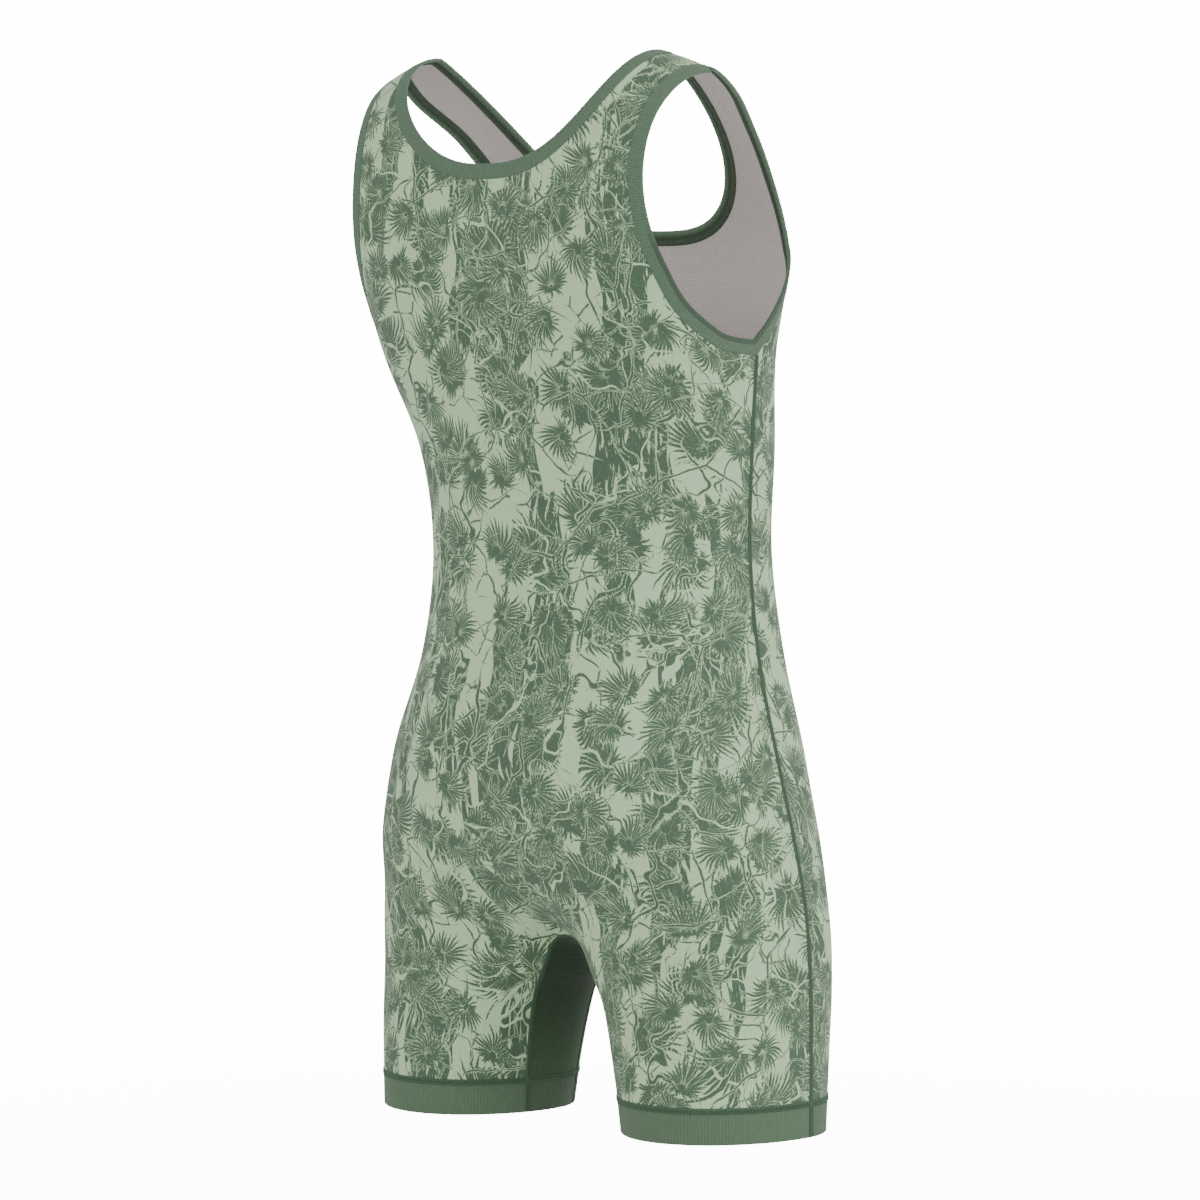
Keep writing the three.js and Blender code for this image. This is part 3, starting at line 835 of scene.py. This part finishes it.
def rib_height(tree: Tree, cloth: Socket, pitch: float, slant: float) -> Socket:
    """Fine knit ribs: the sine of the place across them, broken up along their length by a quick noise.

    Args:
        tree: the material's nodes.
        cloth: the place on the cloth, in millimetres.
        pitch: the ribs' spacing.
        slant: their angle from upright, in degrees.

    Returns:
        A height from about 0 to 1.
    """
    add = tree.add
    turned = add("VectorRotate", cloth, (0, 0, 0), (0, 0, 1), math.radians(slant))
    x = add("SeparateXYZ", turned, out=0)
    wave = add("Math.SINE", add("Math.MULTIPLY", x, TURN / pitch))
    stitches = add("VectorMath.MULTIPLY", turned, (1 / pitch, 1 / (3 * pitch), 1.0))
    uneven = add("TexNoise", stitches, Scale=1.0, Detail=1.0)
    return add("Math.ADD", add("Math.MULTIPLY_ADD", wave, 0.25, 0.3), add("Math.MULTIPLY", uneven, 0.5))


def sheen(weight: float, roughness: float) -> dict[str, float]:
    """The soft light that short fibres scatter, as a shader's inputs."""
    return {"Sheen_Weight": weight, "Sheen_Roughness": roughness}


@dataclass(frozen=True)
class Finish:
    """A material laid out by the places on its cloth."""

    name: str

    def surface(self, tree: Tree, cloth: Socket) -> Socket:
        """The shader, from the place on the cloth in millimetres."""
        raise NotImplementedError

    def make(self) -> bpy.types.Material:
        """Builds the material."""
        tree = Tree(bpy.data.materials.new(self.name))
        tree.add("OutputMaterial", self.surface(tree, tree.add("UVMap", uv_map="cloth")))
        return tree.owner


@dataclass(frozen=True)
class PrintedKnit(Finish):
    """Warp-knitted polyester and elastane, dye printed: matt, with a faint upright rib and a soft sheen."""

    seed: float
    ground: str = "#B8D6A8"
    ink: str = "#4A634C"
    rib: float = 2.4  # a real rib is 0.6 mm, too fine to show

    def surface(self, tree: Tree, cloth: Socket) -> Socket:
        """The print, faded unevenly and along the ribs."""
        add = tree.add
        ink = MeadowPrint(self.seed).cover(tree, cloth)
        ribs = rib_height(tree, cloth, self.rib, slant=4.0)
        fade = add("TexNoise", cloth, Scale=1 / 7, Detail=3.0)
        tone = add("MapRange", add("Math.MULTIPLY_ADD", fade, 0.5, ribs), 0.1, 1.1, 0.9, 1.08)
        colour = add("VectorMath.MULTIPLY", add("MixRGB", ink, linear(self.ground), linear(self.ink)), tone)
        bump = add("Bump", Strength=0.3, Distance=0.25 * MM, Height=ribs)
        return add("BsdfPrincipled", colour, Roughness=0.82, Normal=bump, **sheen(0.12, 0.45))


@dataclass(frozen=True)
class InsideKnit(Finish):
    """The unprinted back of the knit: warm grey, with rows of small dark pores between the loops."""

    base: str = "#E2DBD7"
    pore: str = "#938C8A"
    pitch: float = 1.6  # a real loop is 0.8 mm, too fine to show

    def surface(self, tree: Tree, cloth: Socket) -> Socket:
        """The grey knit, with pores where the product of an upright and a level sine is high."""
        add = tree.add
        ways = [add("Math.MULTIPLY", add("SeparateXYZ", cloth, out=k), math.pi / self.pitch) for k in (0, 1)]
        both = add("Math.MULTIPLY", *[add("Math.SINE", way) for way in ways])
        pore = add("Math.MULTIPLY", tree.smooth(both, 0.35, 0.9), 0.5)
        colour = add("MixRGB", pore, linear(self.base), linear(self.pore))
        bump = add("Bump", Strength=0.25, Distance=0.2 * MM, Height=both)
        return add("BsdfPrincipled", colour, Roughness=0.9, Normal=bump, **sheen(0.08, 0.5))


@dataclass(frozen=True)
class PlainKnit(Finish):
    """Dyed rib knit of polyester and elastane: matt, with ribs and pores that catch the light unevenly."""

    base: str
    rib: float  # real ribs are 0.8 mm apart, too fine to show
    slant: float
    contrast: float = 0.16
    pores: float = 0.2
    depth: float = 0.3

    def shade(self, tree: Tree, cloth: Socket) -> Socket | float:
        """How much of the colour is seen at each place: all of it."""
        return 1.0

    def surface(self, tree: Tree, cloth: Socket) -> Socket:
        """The plain knit: the colour and the height both follow the ribs."""
        add = tree.add
        ribs = rib_height(tree, cloth, self.rib, self.slant)
        tone = add("MapRange", ribs, 0.1, 0.9, 1 - self.contrast, 1 + self.contrast)
        speck = tree.smooth(add("TexNoise", cloth, Scale=1 / 1.6, Detail=1.0), 0.54, 0.68)
        tone = add("Math.MULTIPLY", add("Math.MULTIPLY_ADD", speck, -self.pores, 1.0), tone)
        tone = add("Math.MULTIPLY", tone, self.shade(tree, cloth))
        colour = add("VectorMath.MULTIPLY", linear(self.base)[:3], tone)
        bump = add("Bump", Strength=0.4, Distance=self.depth * MM, Height=ribs)
        return add("BsdfPrincipled", colour, Roughness=0.84, Normal=bump, **sheen(0.1, 0.45))


@dataclass(frozen=True)
class ShadedBindingKnit(PlainKnit):
    """The rib knit folded over an edge, with a painted highlight round the fold and painted shade in the
    groove behind it.
    """

    strip: float = 11.2
    # below this height, in metres, the edge round the fold gets a painted shadow
    low: float = -0.125

    def shade(self, tree: Tree, cloth: Socket) -> Socket:
        """How much of the colour is seen, by the way round the folded strip: painted light and shade.

        It rises just past the fold, a painted highlight, falls in the groove on the inside, painted shade,
        and rises again beside the cloth. Low down in the armhole the edge round the fold is darker too: a
        painted shadow.
        """
        add = tree.add
        round_ = add("SeparateXYZ", cloth, out=1)
        # painted shade in the groove on the inside of the fold
        groove = tree.smooth(round_, self.strip + 4.2, self.strip + 9.0)
        beside = tree.smooth(round_, self.strip + 10.2, self.strip + 12.2)
        # painted highlight just past the fold, on the inside
        turned = tree.smooth(round_, self.strip + 1.0, self.strip + 3.0)
        inside = add("Math.MULTIPLY_ADD", turned, 0.5, 1.0)
        inside = add("Math.MULTIPLY_ADD", groove, -0.95, inside)
        inside = add("Math.MULTIPLY_ADD", beside, 0.12, inside)
        # painted shadow on the edge round the fold, low in the armhole
        height = add("SeparateXYZ", add("TexCoord", out="Object"), out=2)
        lower = tree.smooth(height, self.low, self.low - 0.03)
        edge = add("Math.MULTIPLY", tree.smooth(round_, self.strip - 3.2, self.strip - 2.6),
                   tree.smooth(round_, self.strip + 3.0, self.strip + 2.0))
        armhole_edge_shadow = add("Math.MULTIPLY_ADD", add("Math.MULTIPLY", edge, lower), -0.4, 1.0)
        return add("Math.MULTIPLY", inside, armhole_edge_shadow)


@dataclass(frozen=True)
class ShadedGussetKnit(PlainKnit):
    """The rib knit of the inner legs, with painted shade up in the crotch and painted light lower down, where
    the legs open out.
    """

    # heights, in metres, and colour factors of the painted shade above and the painted light below
    dark_above: float = -0.72
    light_below: float = -0.795
    darkest: float = 0.82
    lightest: float = 1.65

    def shade(self, tree: Tree, cloth: Socket) -> Socket:
        """Painted shade and light by the height: darker up in the crotch, lighter towards the hem."""
        height = tree.add("SeparateXYZ", tree.add("TexCoord", out="Object"), out=2)
        return tree.add("MapRange", height, self.dark_above, self.light_below, self.darkest, self.lightest)


@dataclass(frozen=True)
class SewingThread(Finish):
    """Textured polyester thread: darker than the cloth and a little glossier, from its twist."""

    base: str

    def surface(self, tree: Tree, cloth: Socket) -> Socket:
        """Slanting plies across the thread."""
        plies = rib_height(tree, cloth, pitch=0.9, slant=35.0)
        tone = tree.add("MapRange", plies, 0.0, 1.0, 0.8, 1.15)
        colour = tree.add("VectorMath.MULTIPLY", linear(self.base)[:3], tone)
        return tree.add("BsdfPrincipled", colour, Roughness=0.6)


def dress(piece: bpy.types.Object, finishes: list[bpy.types.Material], slot: Slot, *nodes: str) -> None:
    """Gives a piece its finishes and ties it to the frame.

    Args:
        piece: the piece.
        finishes: its materials, in the order of its faces' numbers.
        slot: the record's slot for the piece; not used.
        nodes: the frame's nodes that it stands for.
    """
    for finish in finishes:
        piece.data.materials.append(finish)
    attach(piece, BODY)
    if nodes:
        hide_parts(*nodes)
    log.info("%s: %d faces", piece.name, len(piece.data.polygons))


@dataclass
class Panel:
    """The back or the front: one piece of printed knit from the straps to the hem bands."""

    side: Side
    finishes: list[bpy.types.Material]
    cut: tuple[float, float]
    cut_area: float
    wall: float = 1.0
    columns: int = 62
    rows: dict[str, int] = field(default_factory=lambda: {"neck": 44, "yoke": 40, "torso": 84, "leg": 34})

    def levels(self) -> Array:
        """Levels of the rows, closer together where an edge turns level.

        By the neck they follow a sine, by the back armhole the square of the rise, and down the leg the
        square of the share of the way.
        """
        foot = -self.side.of(FORM.neck_foot)
        steps = {name: np.arange(1, count + 1) / count for name, count in self.rows.items()}
        rise = math.sqrt(1 - foot / LEVELS.armhole_foot)
        yoke = blend(foot, LEVELS.armhole_foot, steps["yoke"])
        if self.side is Side.BACK:
            yoke = LEVELS.armhole_foot * (1 - (rise * (1 - steps["yoke"])) ** 2)
        return np.concatenate([
            [0.0],
            foot * np.sin(steps["neck"] * QUARTER),
            yoke,
            blend(LEVELS.armhole_foot, LEVELS.arch_top, steps["torso"]),
            blend(LEVELS.arch_top, LEVELS.band_top, steps["leg"] ** 2),
        ])

    def places(self, level: Array, run: Array, middle_to_edge: Array) -> Array:
        """Places on the flat cloth: across from the middle, and up along the body.

        Above the crotch, across is the way round from the middle. Below it, across is the crotch's own
        half width less what is left to the side seam. Up is the height, or the way along the shoulder.

        Args:
            level: the rows' levels.
            run: the way from each row's inner edge to each point.
            middle_to_edge: the way from the middle to each row's inner edge.

        Returns:
            The places, in millimetres.
        """
        across = middle_to_edge[:, None] + run
        at_crotch = across[level >= LEVELS.arch_top][-1, -1]
        below = level < LEVELS.arch_top
        across[below] = at_crotch - (run[below][:, -1:] - run[below])
        rise = np.linspace(0, 1, 200)
        strap_middle = (FORM.neck_half_width + FORM.strap_edge) / 2
        over = lengths_along(FORM.shoulder(self.side, rise, np.full_like(rise, strap_middle)))
        up = np.where(level > LEVELS.dome_foot,
                      LEVELS.dome_foot + np.interp(1 - level / LEVELS.dome_foot, rise, over), level)
        return crossed(across, up[:, None])

    def half(self) -> tuple[Array, Array, Array]:
        """The left half as a grid, its rows' points even along the cloth: points, normals and places."""
        level = self.levels()
        start, end = FORM.inner_angle(self.side, level), FORM.outer_angle(self.side, level)
        fine = np.linspace(0, 1, 241)
        angles = blend(start[:, None], end[:, None], fine)
        run = lengths_along(FORM.cloth(self.side, level[:, None], angles))
        want = run[:, -1:] * np.linspace(0, 1, self.columns + 1)
        even = np.stack([np.interp(w, r, a) for w, r, a in zip(want, run, angles)])
        middle = FORM.angle_at_x(self.side, np.minimum(level, LEVELS.dome_foot), np.zeros_like(level))
        to_edge = blend(middle[:, None], start[:, None], fine)
        away = lengths_along(FORM.cloth(self.side, level[:, None], to_edge))[:, -1]
        points = FORM.cloth(self.side, level[:, None], even)
        normals = FORM.normal(self.side, level[:, None], even)
        on_middle = points[..., 0] < 0.02
        points[on_middle, 0] = 0.0
        normals[on_middle, 0] = 0.0
        return points, unit(normals), self.places(level, want, away)

    def build(self) -> bpy.types.Object:
        points, normals, places = self.half()
        turned = self.side is Side.BACK
        mirrored = (points * MIRROR, normals * MIRROR, places * MIRROR[:2], not turned)
        grids = [(points, normals, places, turned), mirrored]
        solid, shading, uv, outer, rest = wall(grids, self.wall)
        name = f"{self.side.name.lower()}_panel"
        piece = mesh_object(f"{name}_cloth", solid, [outer, rest], [0, 1], uv, shading)
        dress(piece, self.finishes, Slot.PRINTED, name)
        return piece


def gusset_points(z: Array, across: Array) -> tuple[Array, Array]:
    """Points and normals of the inner leg, from the front seam (-1) to the back seam (1)."""
    back, front = FORM.gusset_seam_y(Side.BACK, z), FORM.gusset_seam_y(Side.FRONT, z)
    y = blend(front, back, (across + 1) / 2)
    s = FORM.section(Side.BACK, z)
    behind = (y > s.seam_y + s.lean_at(-1.0))[..., None]
    angles = [(side, FORM.angle_at_y(side, z, y, -1.0)) for side in Side]
    points = np.where(behind, *(FORM.ring(side, z, angle) for side, angle in angles))
    normals = np.where(behind, *(FORM.normal(side, z, angle) for side, angle in angles))
    return points, normals


@dataclass
class Gusset:
    """The plain piece along both inner legs and over the crotch."""

    finish: bpy.types.Material
    cut: tuple[float, float]
    cut_area: float
    wall: float = 1.0
    half_width: float = 38.0
    columns: int = 30
    rows: int = 36

    def crossing(self, across: Array) -> Array:
        """The height where each line of the gusset crosses the middle of the body, by halving."""
        high = np.full_like(across, LEVELS.arch_top + 2)
        low = np.full_like(across, LEVELS.crotch - 2)
        for _ in range(40):
            z = (high + low) / 2
            off_middle = gusset_points(z, across)[0][..., 0] > 0
            low, high = np.where(off_middle, z, low), np.where(off_middle, high, z)
        return low

    def build(self) -> bpy.types.Object:
        across = np.linspace(-1, 1, self.columns + 1)
        top = self.crossing(across)
        down = np.linspace(0, 1, self.rows + 1) ** 2
        z = blend(top[:, None], LEVELS.band_top, down)
        points, normals = gusset_points(z, np.broadcast_to(across[:, None], z.shape))
        points[:, 0, 0] = 0.0
        normals[:, 0, 0] = 0.0
        run = lengths_along(points)
        places = crossed(across[:, None] * self.half_width, run)
        normals = unit(normals)
        mirrored = (points * MIRROR, normals * MIRROR, places * (1.0, -1.0), True)
        grids = [(points, normals, places, False), mirrored]
        solid, shading, uv, outer, rest = wall(grids, self.wall)
        piece = mesh_object("leg_gusset_cloth", solid, [outer, rest], [0, 0], uv, shading)
        dress(piece, [self.finish], Slot.GUSSET, "leg_gusset")
        return piece


@dataclass
class Binding:
    """A strip of plain knit folded over a cut edge, with a round fold towards the opening."""

    node: str
    finish: bpy.types.Material
    seam: Line
    corner: int | None = None
    corner_reach: float = 16.0
    width: float = 11.2
    thickness: float = 2.5
    panel_wall: float = 1.2

    def profile(self) -> Array:
        """The folded strip cut across: how far out from the seam, and how high over its middle.

        The outside is slightly crowned, the fold is half round, and inside the turned edge leaves a groove.
        """
        half = self.thickness / 2
        outside = [(-0.7, 0.5), (-0.45, 0.9), (0.2, 1.0), (3.6, 1.08), (7.2, 1.08)]
        turn = np.linspace(QUARTER, -QUARTER, 9)
        fold = [(self.width - half + half * math.cos(a), math.sin(a)) for a in turn]
        inside = [(8.4, -1.0), (6.8, -0.9), (5.0, -0.5), (3.9, -0.45), (3.0, -0.85),
                  (1.2, -0.95), (0.0, -0.9), (-0.7, -0.6)]
        return np.array(outside + fold + inside) * (1.0, half)

    def inward(self) -> Array:
        """The way towards the opening, turned gradually to the corner's middle where there is one."""
        way = unit(np.cross(self.seam.normals, self.seam.ahead()))
        if self.corner is None:
            return way
        points = self.seam.points
        before = unit(points[self.corner - 1] - points[self.corner])
        after = unit(points[(self.corner + 1) % len(points)] - points[self.corner])
        middle = unit(before + after) / math.sqrt((1 - float(before @ after)) / 2)
        away = np.linalg.norm(points - points[self.corner], axis=1)
        near = np.clip(1 - away / self.corner_reach, 0.0, 1.0)[:, None]
        return way * (1 - near) + middle * near

    def build(self) -> bpy.types.Object:
        middle = Line(self.seam.points - self.seam.normals * self.panel_wall / 2, self.seam.normals, True)
        points, faces, uv = swept(middle, self.profile(), self.inward())
        piece = mesh_object(f"{self.node}_strip", points, [faces], [0], uv)
        dress(piece, [self.finish], Slot.PLAIN, self.node)
        length = lengths_along(looped(middle.points))[-1]
        return piece


@dataclass
class HemBand:
    """A folded band of rib knit round part of a leg's hem."""

    part: BandPart
    leg: Leg
    finish: bpy.types.Material
    wall: float = 1.9
    proud: float = 0.25
    under_seam: float = 0.1
    rows: int = 6
    stations: int = 56
    sharp_above: float = 50.0

    def line(self, z: float) -> Line:
        """The band's outer surface at one height, from one of its seams to the other."""
        if self.part is BandPart.INNER:
            across = np.linspace(-1, 1, self.stations)
            return Line(*gusset_points(np.full_like(across, z), across))
        side = Side[self.part.name]
        start = float(FORM.inner_angle(side, np.array(z)))
        return on_cloth(side, np.full(self.stations, z), np.linspace(start, QUARTER, self.stations)).even(3.0)

    def grid(self) -> tuple[Array, Array, Array]:
        """The band as stations along it, each a closed run: down the outside, round the fold, up the inside.

        Returns:
            The points, the heights of a station's points, and the way along the foot.
        """
        half = self.wall / 2
        fold = np.linspace(0, math.pi, 9)[1:-1]
        straight = np.linspace(LEVELS.band_top - self.under_seam, LEVELS.hem + half, self.rows)
        heights = np.concatenate([straight, LEVELS.hem + half - half * np.sin(fold), straight[::-1]])
        depths = np.concatenate([0 * straight, half - half * np.cos(fold), 0 * straight + self.wall])
        lines = [self.line(float(z)) for z in (straight[0], LEVELS.hem)]
        counts = [len(line.points) for line in lines]
        want, *own = (np.linspace(0, 1, count) for count in (min(counts), *counts))
        top, foot = (between(want, at, line.points) for at, line in zip(own, lines))
        normals = unit(between(want, own[1], lines[1].normals))
        down = share(straight[0], LEVELS.hem, heights)[:, None]
        points = top[:, None] * (1 - down) + foot[:, None] * down
        points = points + normals[:, None] * (self.proud - depths)[:, None]
        points[..., 2] = heights
        return points, heights, lengths_along(foot)

    def build(self) -> bpy.types.Object:
        grid, heights, run = self.grid()
        count, sides = grid.shape[:2]
        faces = grid_faces(looped(np.arange(count * sides).reshape(count, sides), 1))
        faces = np.concatenate([faces, end_caps(count, sides)])
        if self.leg is Leg.RIGHT:
            grid = grid * MIRROR
        if self.leg is (Leg.LEFT if self.part is BandPart.BACK else Leg.RIGHT):
            faces = faces[:, ::-1]
        node = f"hem_band_{self.part.value}_{self.leg.value}"
        uv = crossed(run[:, None], heights).reshape(-1, 2)
        piece = mesh_object(f"{node}_cloth", grid.reshape(-1, 3), [faces], [0], uv)
        piece.data.set_sharp_from_angle(angle=math.radians(self.sharp_above))
        dress(piece, [self.finish], Slot.PLAIN, node)
        return piece


@dataclass
class FlatSeam:
    """A flat seam: a low ridge of covering thread with a zigzag of thread over both of its edges."""

    name: str
    line: Line
    finishes: list[bpy.types.Material]
    width: float = 3.2
    zigzag: float = 4.2
    shift: float = 0.0
    pitch: float = 2.8
    thread: float = 0.42
    height: float = 0.3

    def ridge(self) -> tuple[Array, Array, Array]:
        """The covering thread: a low dome cut across, its foot sunk in the cloth."""
        half = self.width / 2
        turn = np.linspace(0, math.pi, 7)
        top = np.stack([-half * np.cos(turn), self.height * np.sin(turn)], axis=-1)
        foot = np.array([(half, -0.5), (-half, -0.5)])
        return swept(self.line.even(2.5), np.concatenate([top, foot])[::-1])

    def thread_line(self, phase: float) -> Line:
        """One thread: its way across is half the zigzag times the sine of the way along, plus the shift."""
        per_turn = 6
        even = self.line.even(self.pitch / per_turn)
        along = lengths_along(even.points) * TURN / self.pitch + phase
        side = unit(np.cross(even.normals, even.ahead()))
        lift = self.height + 0.18 * np.abs(np.cos(along))
        across = self.shift + (self.zigzag / 2) * np.sin(along)
        fall = self.height * share(self.width / 2 - 0.6, self.width / 2 + 0.4, np.abs(across))
        points = even.points + side * across[:, None] + even.normals * (lift - fall)[:, None]
        return Line(points, even.normals, even.closed)

    def build(self) -> bpy.types.Object:
        """Makes and dresses the seam: the ridge and two threads that cross each other."""
        turn = np.linspace(0, TURN, 5, endpoint=False)
        round_ = self.thread * np.stack([np.cos(turn), -np.sin(turn)], axis=-1)
        parts = [self.ridge(), *[swept(self.thread_line(phase), round_) for phase in (0.0, math.pi)]]
        counts = np.cumsum([0, *(len(p[0]) for p in parts)])
        points = np.concatenate([p[0] for p in parts])
        faces = [p[1] + first for p, first in zip(parts, counts)]
        uv = np.concatenate([p[2] for p in parts])
        piece = mesh_object(self.name, points, faces, [0, 1, 1], uv)
        dress(piece, self.finishes, Slot.PLAIN)
        return piece


@dataclass
class Sewing:
    """Every seam line of the garment."""

    finishes: list[bpy.types.Material]
    band_shift: float = -0.9
    over_band: float = 0.4

    def raised(self, line: Line) -> Line:
        """The line lifted off the cloth where it crosses a hem band."""
        down = share(LEVELS.band_top + 1.0, LEVELS.band_top - 1.0, line.points[:, 2:])
        return Line(line.points + line.normals * down * self.over_band, line.normals, line.closed)

    def side_seam(self) -> Line:
        """Down the left side from under the armhole binding to the hem."""
        z = np.linspace(LEVELS.armhole_foot - 1.0, LEVELS.hem + 1.0, 240)
        return self.raised(on_cloth(Side.BACK, z, np.full_like(z, QUARTER)))

    def gusset_seam(self, side: Side) -> Line:
        """Up one inner leg, over the middle of the body and down the other, from hem to hem."""
        down = np.linspace(0, 1, 160)[1:] ** 2
        z = blend(LEVELS.arch_top, LEVELS.hem + 1.0, down)
        left = on_cloth(side, z, FORM.angle_at_y(side, z, FORM.gusset_seam_y(side, z), -1.0))
        return self.raised(joined(left.backwards(), left.mirrored()))

    def band_seam(self) -> Line:
        """Round the top of the left leg's band."""
        angle = np.linspace(-QUARTER, QUARTER, 120)
        level = np.full_like(angle, LEVELS.band_top)
        back = on_cloth(Side.BACK, level, angle)
        front = on_cloth(Side.FRONT, level, angle[::-1])
        ring = joined(back, front)
        return Line(ring.points[:-1], ring.normals[:-1], True)

    def build(self) -> None:
        """Makes every seam, the left ones and their mirror images."""
        for name, line, zigzag, shift in (("side_seam", self.side_seam(), 4.4, 0.0),
                                          ("band_seam", self.band_seam(), 5.2, self.band_shift)):
            FlatSeam(f"{name}_left", line, self.finishes, zigzag=zigzag, shift=shift).build()
            FlatSeam(f"{name}_right", line.mirrored(), self.finishes, zigzag=zigzag, shift=-shift).build()
        for side in Side:
            FlatSeam(f"gusset_seam_{side.name.lower()}", self.gusset_seam(side), self.finishes).build()


def neck_seam() -> Line:
    """The neck seam: from the left strap down the back, up to the right strap and down the front."""
    level = {side: -side.of(FORM.neck_foot) * np.sin(np.linspace(0, QUARTER, 140)) for side in Side}
    back, front = (on_cloth(side, level[side], FORM.inner_angle(side, level[side])) for side in Side)
    ring = joined(back, back.backwards().mirrored(), front.mirrored(), front.backwards())
    return Line(ring.points[:-1], ring.normals[:-1], True).even(2.2)


def armhole_seam() -> tuple[Line, int]:
    """The left armhole seam, from the ridge down the front to its corner and up the back, and the corner."""
    level = LEVELS.armhole_foot * (1 - np.linspace(1, 0, 150) ** 2)
    back, front = (on_cloth(side, level, FORM.outer_angle(side, level)).even(2.2) for side in Side)
    up = back.backwards()
    points = np.concatenate([front.points, up.points[1:-1]])
    normals = np.concatenate([front.normals, up.normals[1:-1]])
    return Line(points, normals, True), len(front.points) - 1


@dataclass
class Studio:
    """A pale floor, soft light all round and the photograph's viewpoint."""

    azimuth: float = 219.0
    elevation: float = 3.1
    distance: float = 4.0
    target: tuple[float, float, float] = (0.0, -0.0659, -0.4196)
    focal_share: float = 4.3  # the focal length over the frame's width
    floor: float = -0.9
    floor_radius: float = 1500.0
    white: float = 16.0
    fill: float = 0.8

    def placed(self, data: bpy.types.ID, azimuth: float, elevation: float, away: float) -> bpy.types.Object:
        """Stands a camera or a lamp at a viewpoint, looking at the garment."""
        a, e = math.radians(azimuth), math.radians(elevation)
        way = Vector((math.sin(a) * math.cos(e), -math.cos(a) * math.cos(e), math.sin(e)))
        item = bpy.data.objects.new(data.name, data)
        bpy.context.scene.collection.objects.link(item)
        item.location = Vector(self.target) + way * away
        item.rotation_mode = "QUATERNION"
        item.rotation_quaternion = (-way).to_track_quat("-Z", "Y")
        return item

    def camera(self) -> None:
        """Stands the camera where the photograph was taken from."""
        data = bpy.data.cameras.new("camera")
        data.sensor_width = 36.0
        data.lens = data.sensor_width * self.focal_share
        data.dof.use_dof = False
        data.clip_end = 100.0
        bpy.context.scene.camera = self.placed(data, self.azimuth, self.elevation, self.distance)

    def light(self, name: str, azimuth: float, elevation: float, size: float, watts: float) -> None:
        """Hangs one large soft light that looks at the garment."""
        data = bpy.data.lights.new(name, "AREA")
        data.size, data.energy = size, watts
        self.placed(data, azimuth, elevation, 3.0)

    def ground(self) -> None:
        """Lays a pale floor that fades into the surroundings."""
        tree = Tree(bpy.data.materials.new("pale_floor"))
        add = tree.add
        fade = tree.smooth(add("VectorMath.LENGTH", add("TexCoord", out="Object"), out="Value"), 0.6, 1.5)
        seen = add("Math.MULTIPLY", add("LightPath", out="Is Camera Ray"), 0.85)
        paper = add("BsdfDiffuse", (0.95, 0.95, 0.95, 1.0))
        lit = add("MixShader", seen, paper, add("Emission", (1.0, 1.0, 1.0, 1.0), self.white))
        shader = add("MixShader", fade, lit, add("BsdfTransparent"))
        turn = np.linspace(0, TURN, 96, endpoint=False)
        rim = self.floor_radius * np.stack([np.cos(turn), np.sin(turn), np.zeros_like(turn)], axis=-1)
        floor = mesh_object("floor", rim, [np.arange(96)[None, :]], [0], None)
        floor.location = (0.0, -0.07, self.floor)
        add("OutputMaterial", shader)
        floor.data.materials.append(tree.owner)
        floor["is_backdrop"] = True

    def surroundings(self) -> None:
        """Lights the garment evenly from all round, before a backdrop that the camera sees as white."""
        tree = Tree(bpy.data.worlds.new("white_studio"))
        add = tree.add
        soft = add("Background", (1.0, 1.0, 1.0, 1.0), self.fill)
        backdrop = add("Background", (1.0, 1.0, 1.0, 1.0), self.white)
        add("OutputWorld", add("MixShader", add("LightPath", out="Is Camera Ray"), soft, backdrop))
        bpy.context.scene.world = tree.owner

    def build(self) -> None:
        """Sets up the camera, floor and lights."""
        self.camera()
        self.ground()
        self.surroundings()
        self.light("key", azimuth=282.0, elevation=24.0, size=2.2, watts=40.0)
        self.light("fill", azimuth=190.0, elevation=28.0, size=2.6, watts=22.0)


def main() -> None:
    """Builds the garment piece by piece, then the studio."""
    logging.basicConfig(level=logging.INFO, format="%(message)s")
    inside = InsideKnit("inside_of_knit").make()
    colours = {"covering_thread": "#2E4334", "zigzag_thread": "#46634A"}
    threads = [SewingThread(name, colour).make() for name, colour in colours.items()]
    binding = ShadedBindingKnit("shaded_binding_rib_knit", "#58715A", rib=2.2, slant=8.0).make()
    band = PlainKnit("hem_rib_knit", "#556D54", rib=2.6, slant=0.0, pores=0.1).make()
    # a darker copy of the hem band knit: painted shade on the inner parts between the legs
    shaded_inner_band = PlainKnit("shaded_inner_hem_rib_knit", "#485D47", rib=2.6, slant=0.0, pores=0.1).make()
    # the gusset's green is darkened well below the plain knit's, as painted shade between the legs
    gusset = ShadedGussetKnit("gusset_knit", "#2E452B", rib=2.0, slant=24.0).make()
    back_print = PrintedKnit("printed_knit_back", 310.0).make()
    front_print = PrintedKnit("printed_knit_front", 1730.0).make()
    Panel(Side.BACK, [back_print, inside], cut=(0.525, 0.786), cut_area=0.270).build()
    Panel(Side.FRONT, [front_print, inside], cut=(0.495, 0.798), cut_area=0.249).build()
    Gusset(gusset, cut=(0.07, 0.26), cut_area=0.0149).build()
    Binding("neck_binding", binding, neck_seam()).build()
    seam, corner = armhole_seam()
    Binding("armhole_binding_left", binding, seam, corner).build()
    right_seam, right_corner = seam.mirrored().backwards(), len(seam.points) - 1 - corner
    Binding("armhole_binding_right", binding, right_seam, right_corner).build()
    for leg in Leg:
        for part in BandPart:
            # the inner parts of the bands take the copy with painted shade
            HemBand(part, leg, shaded_inner_band if part is BandPart.INNER else band).build()
    Sewing(threads).build()
    Studio().build()
    boxes = {"cad": CAD_BOX, "visual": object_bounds()}
    {name: [list(corner) for corner in box] for name, box in boxes.items()}


if __name__ == "__main__":
    main()
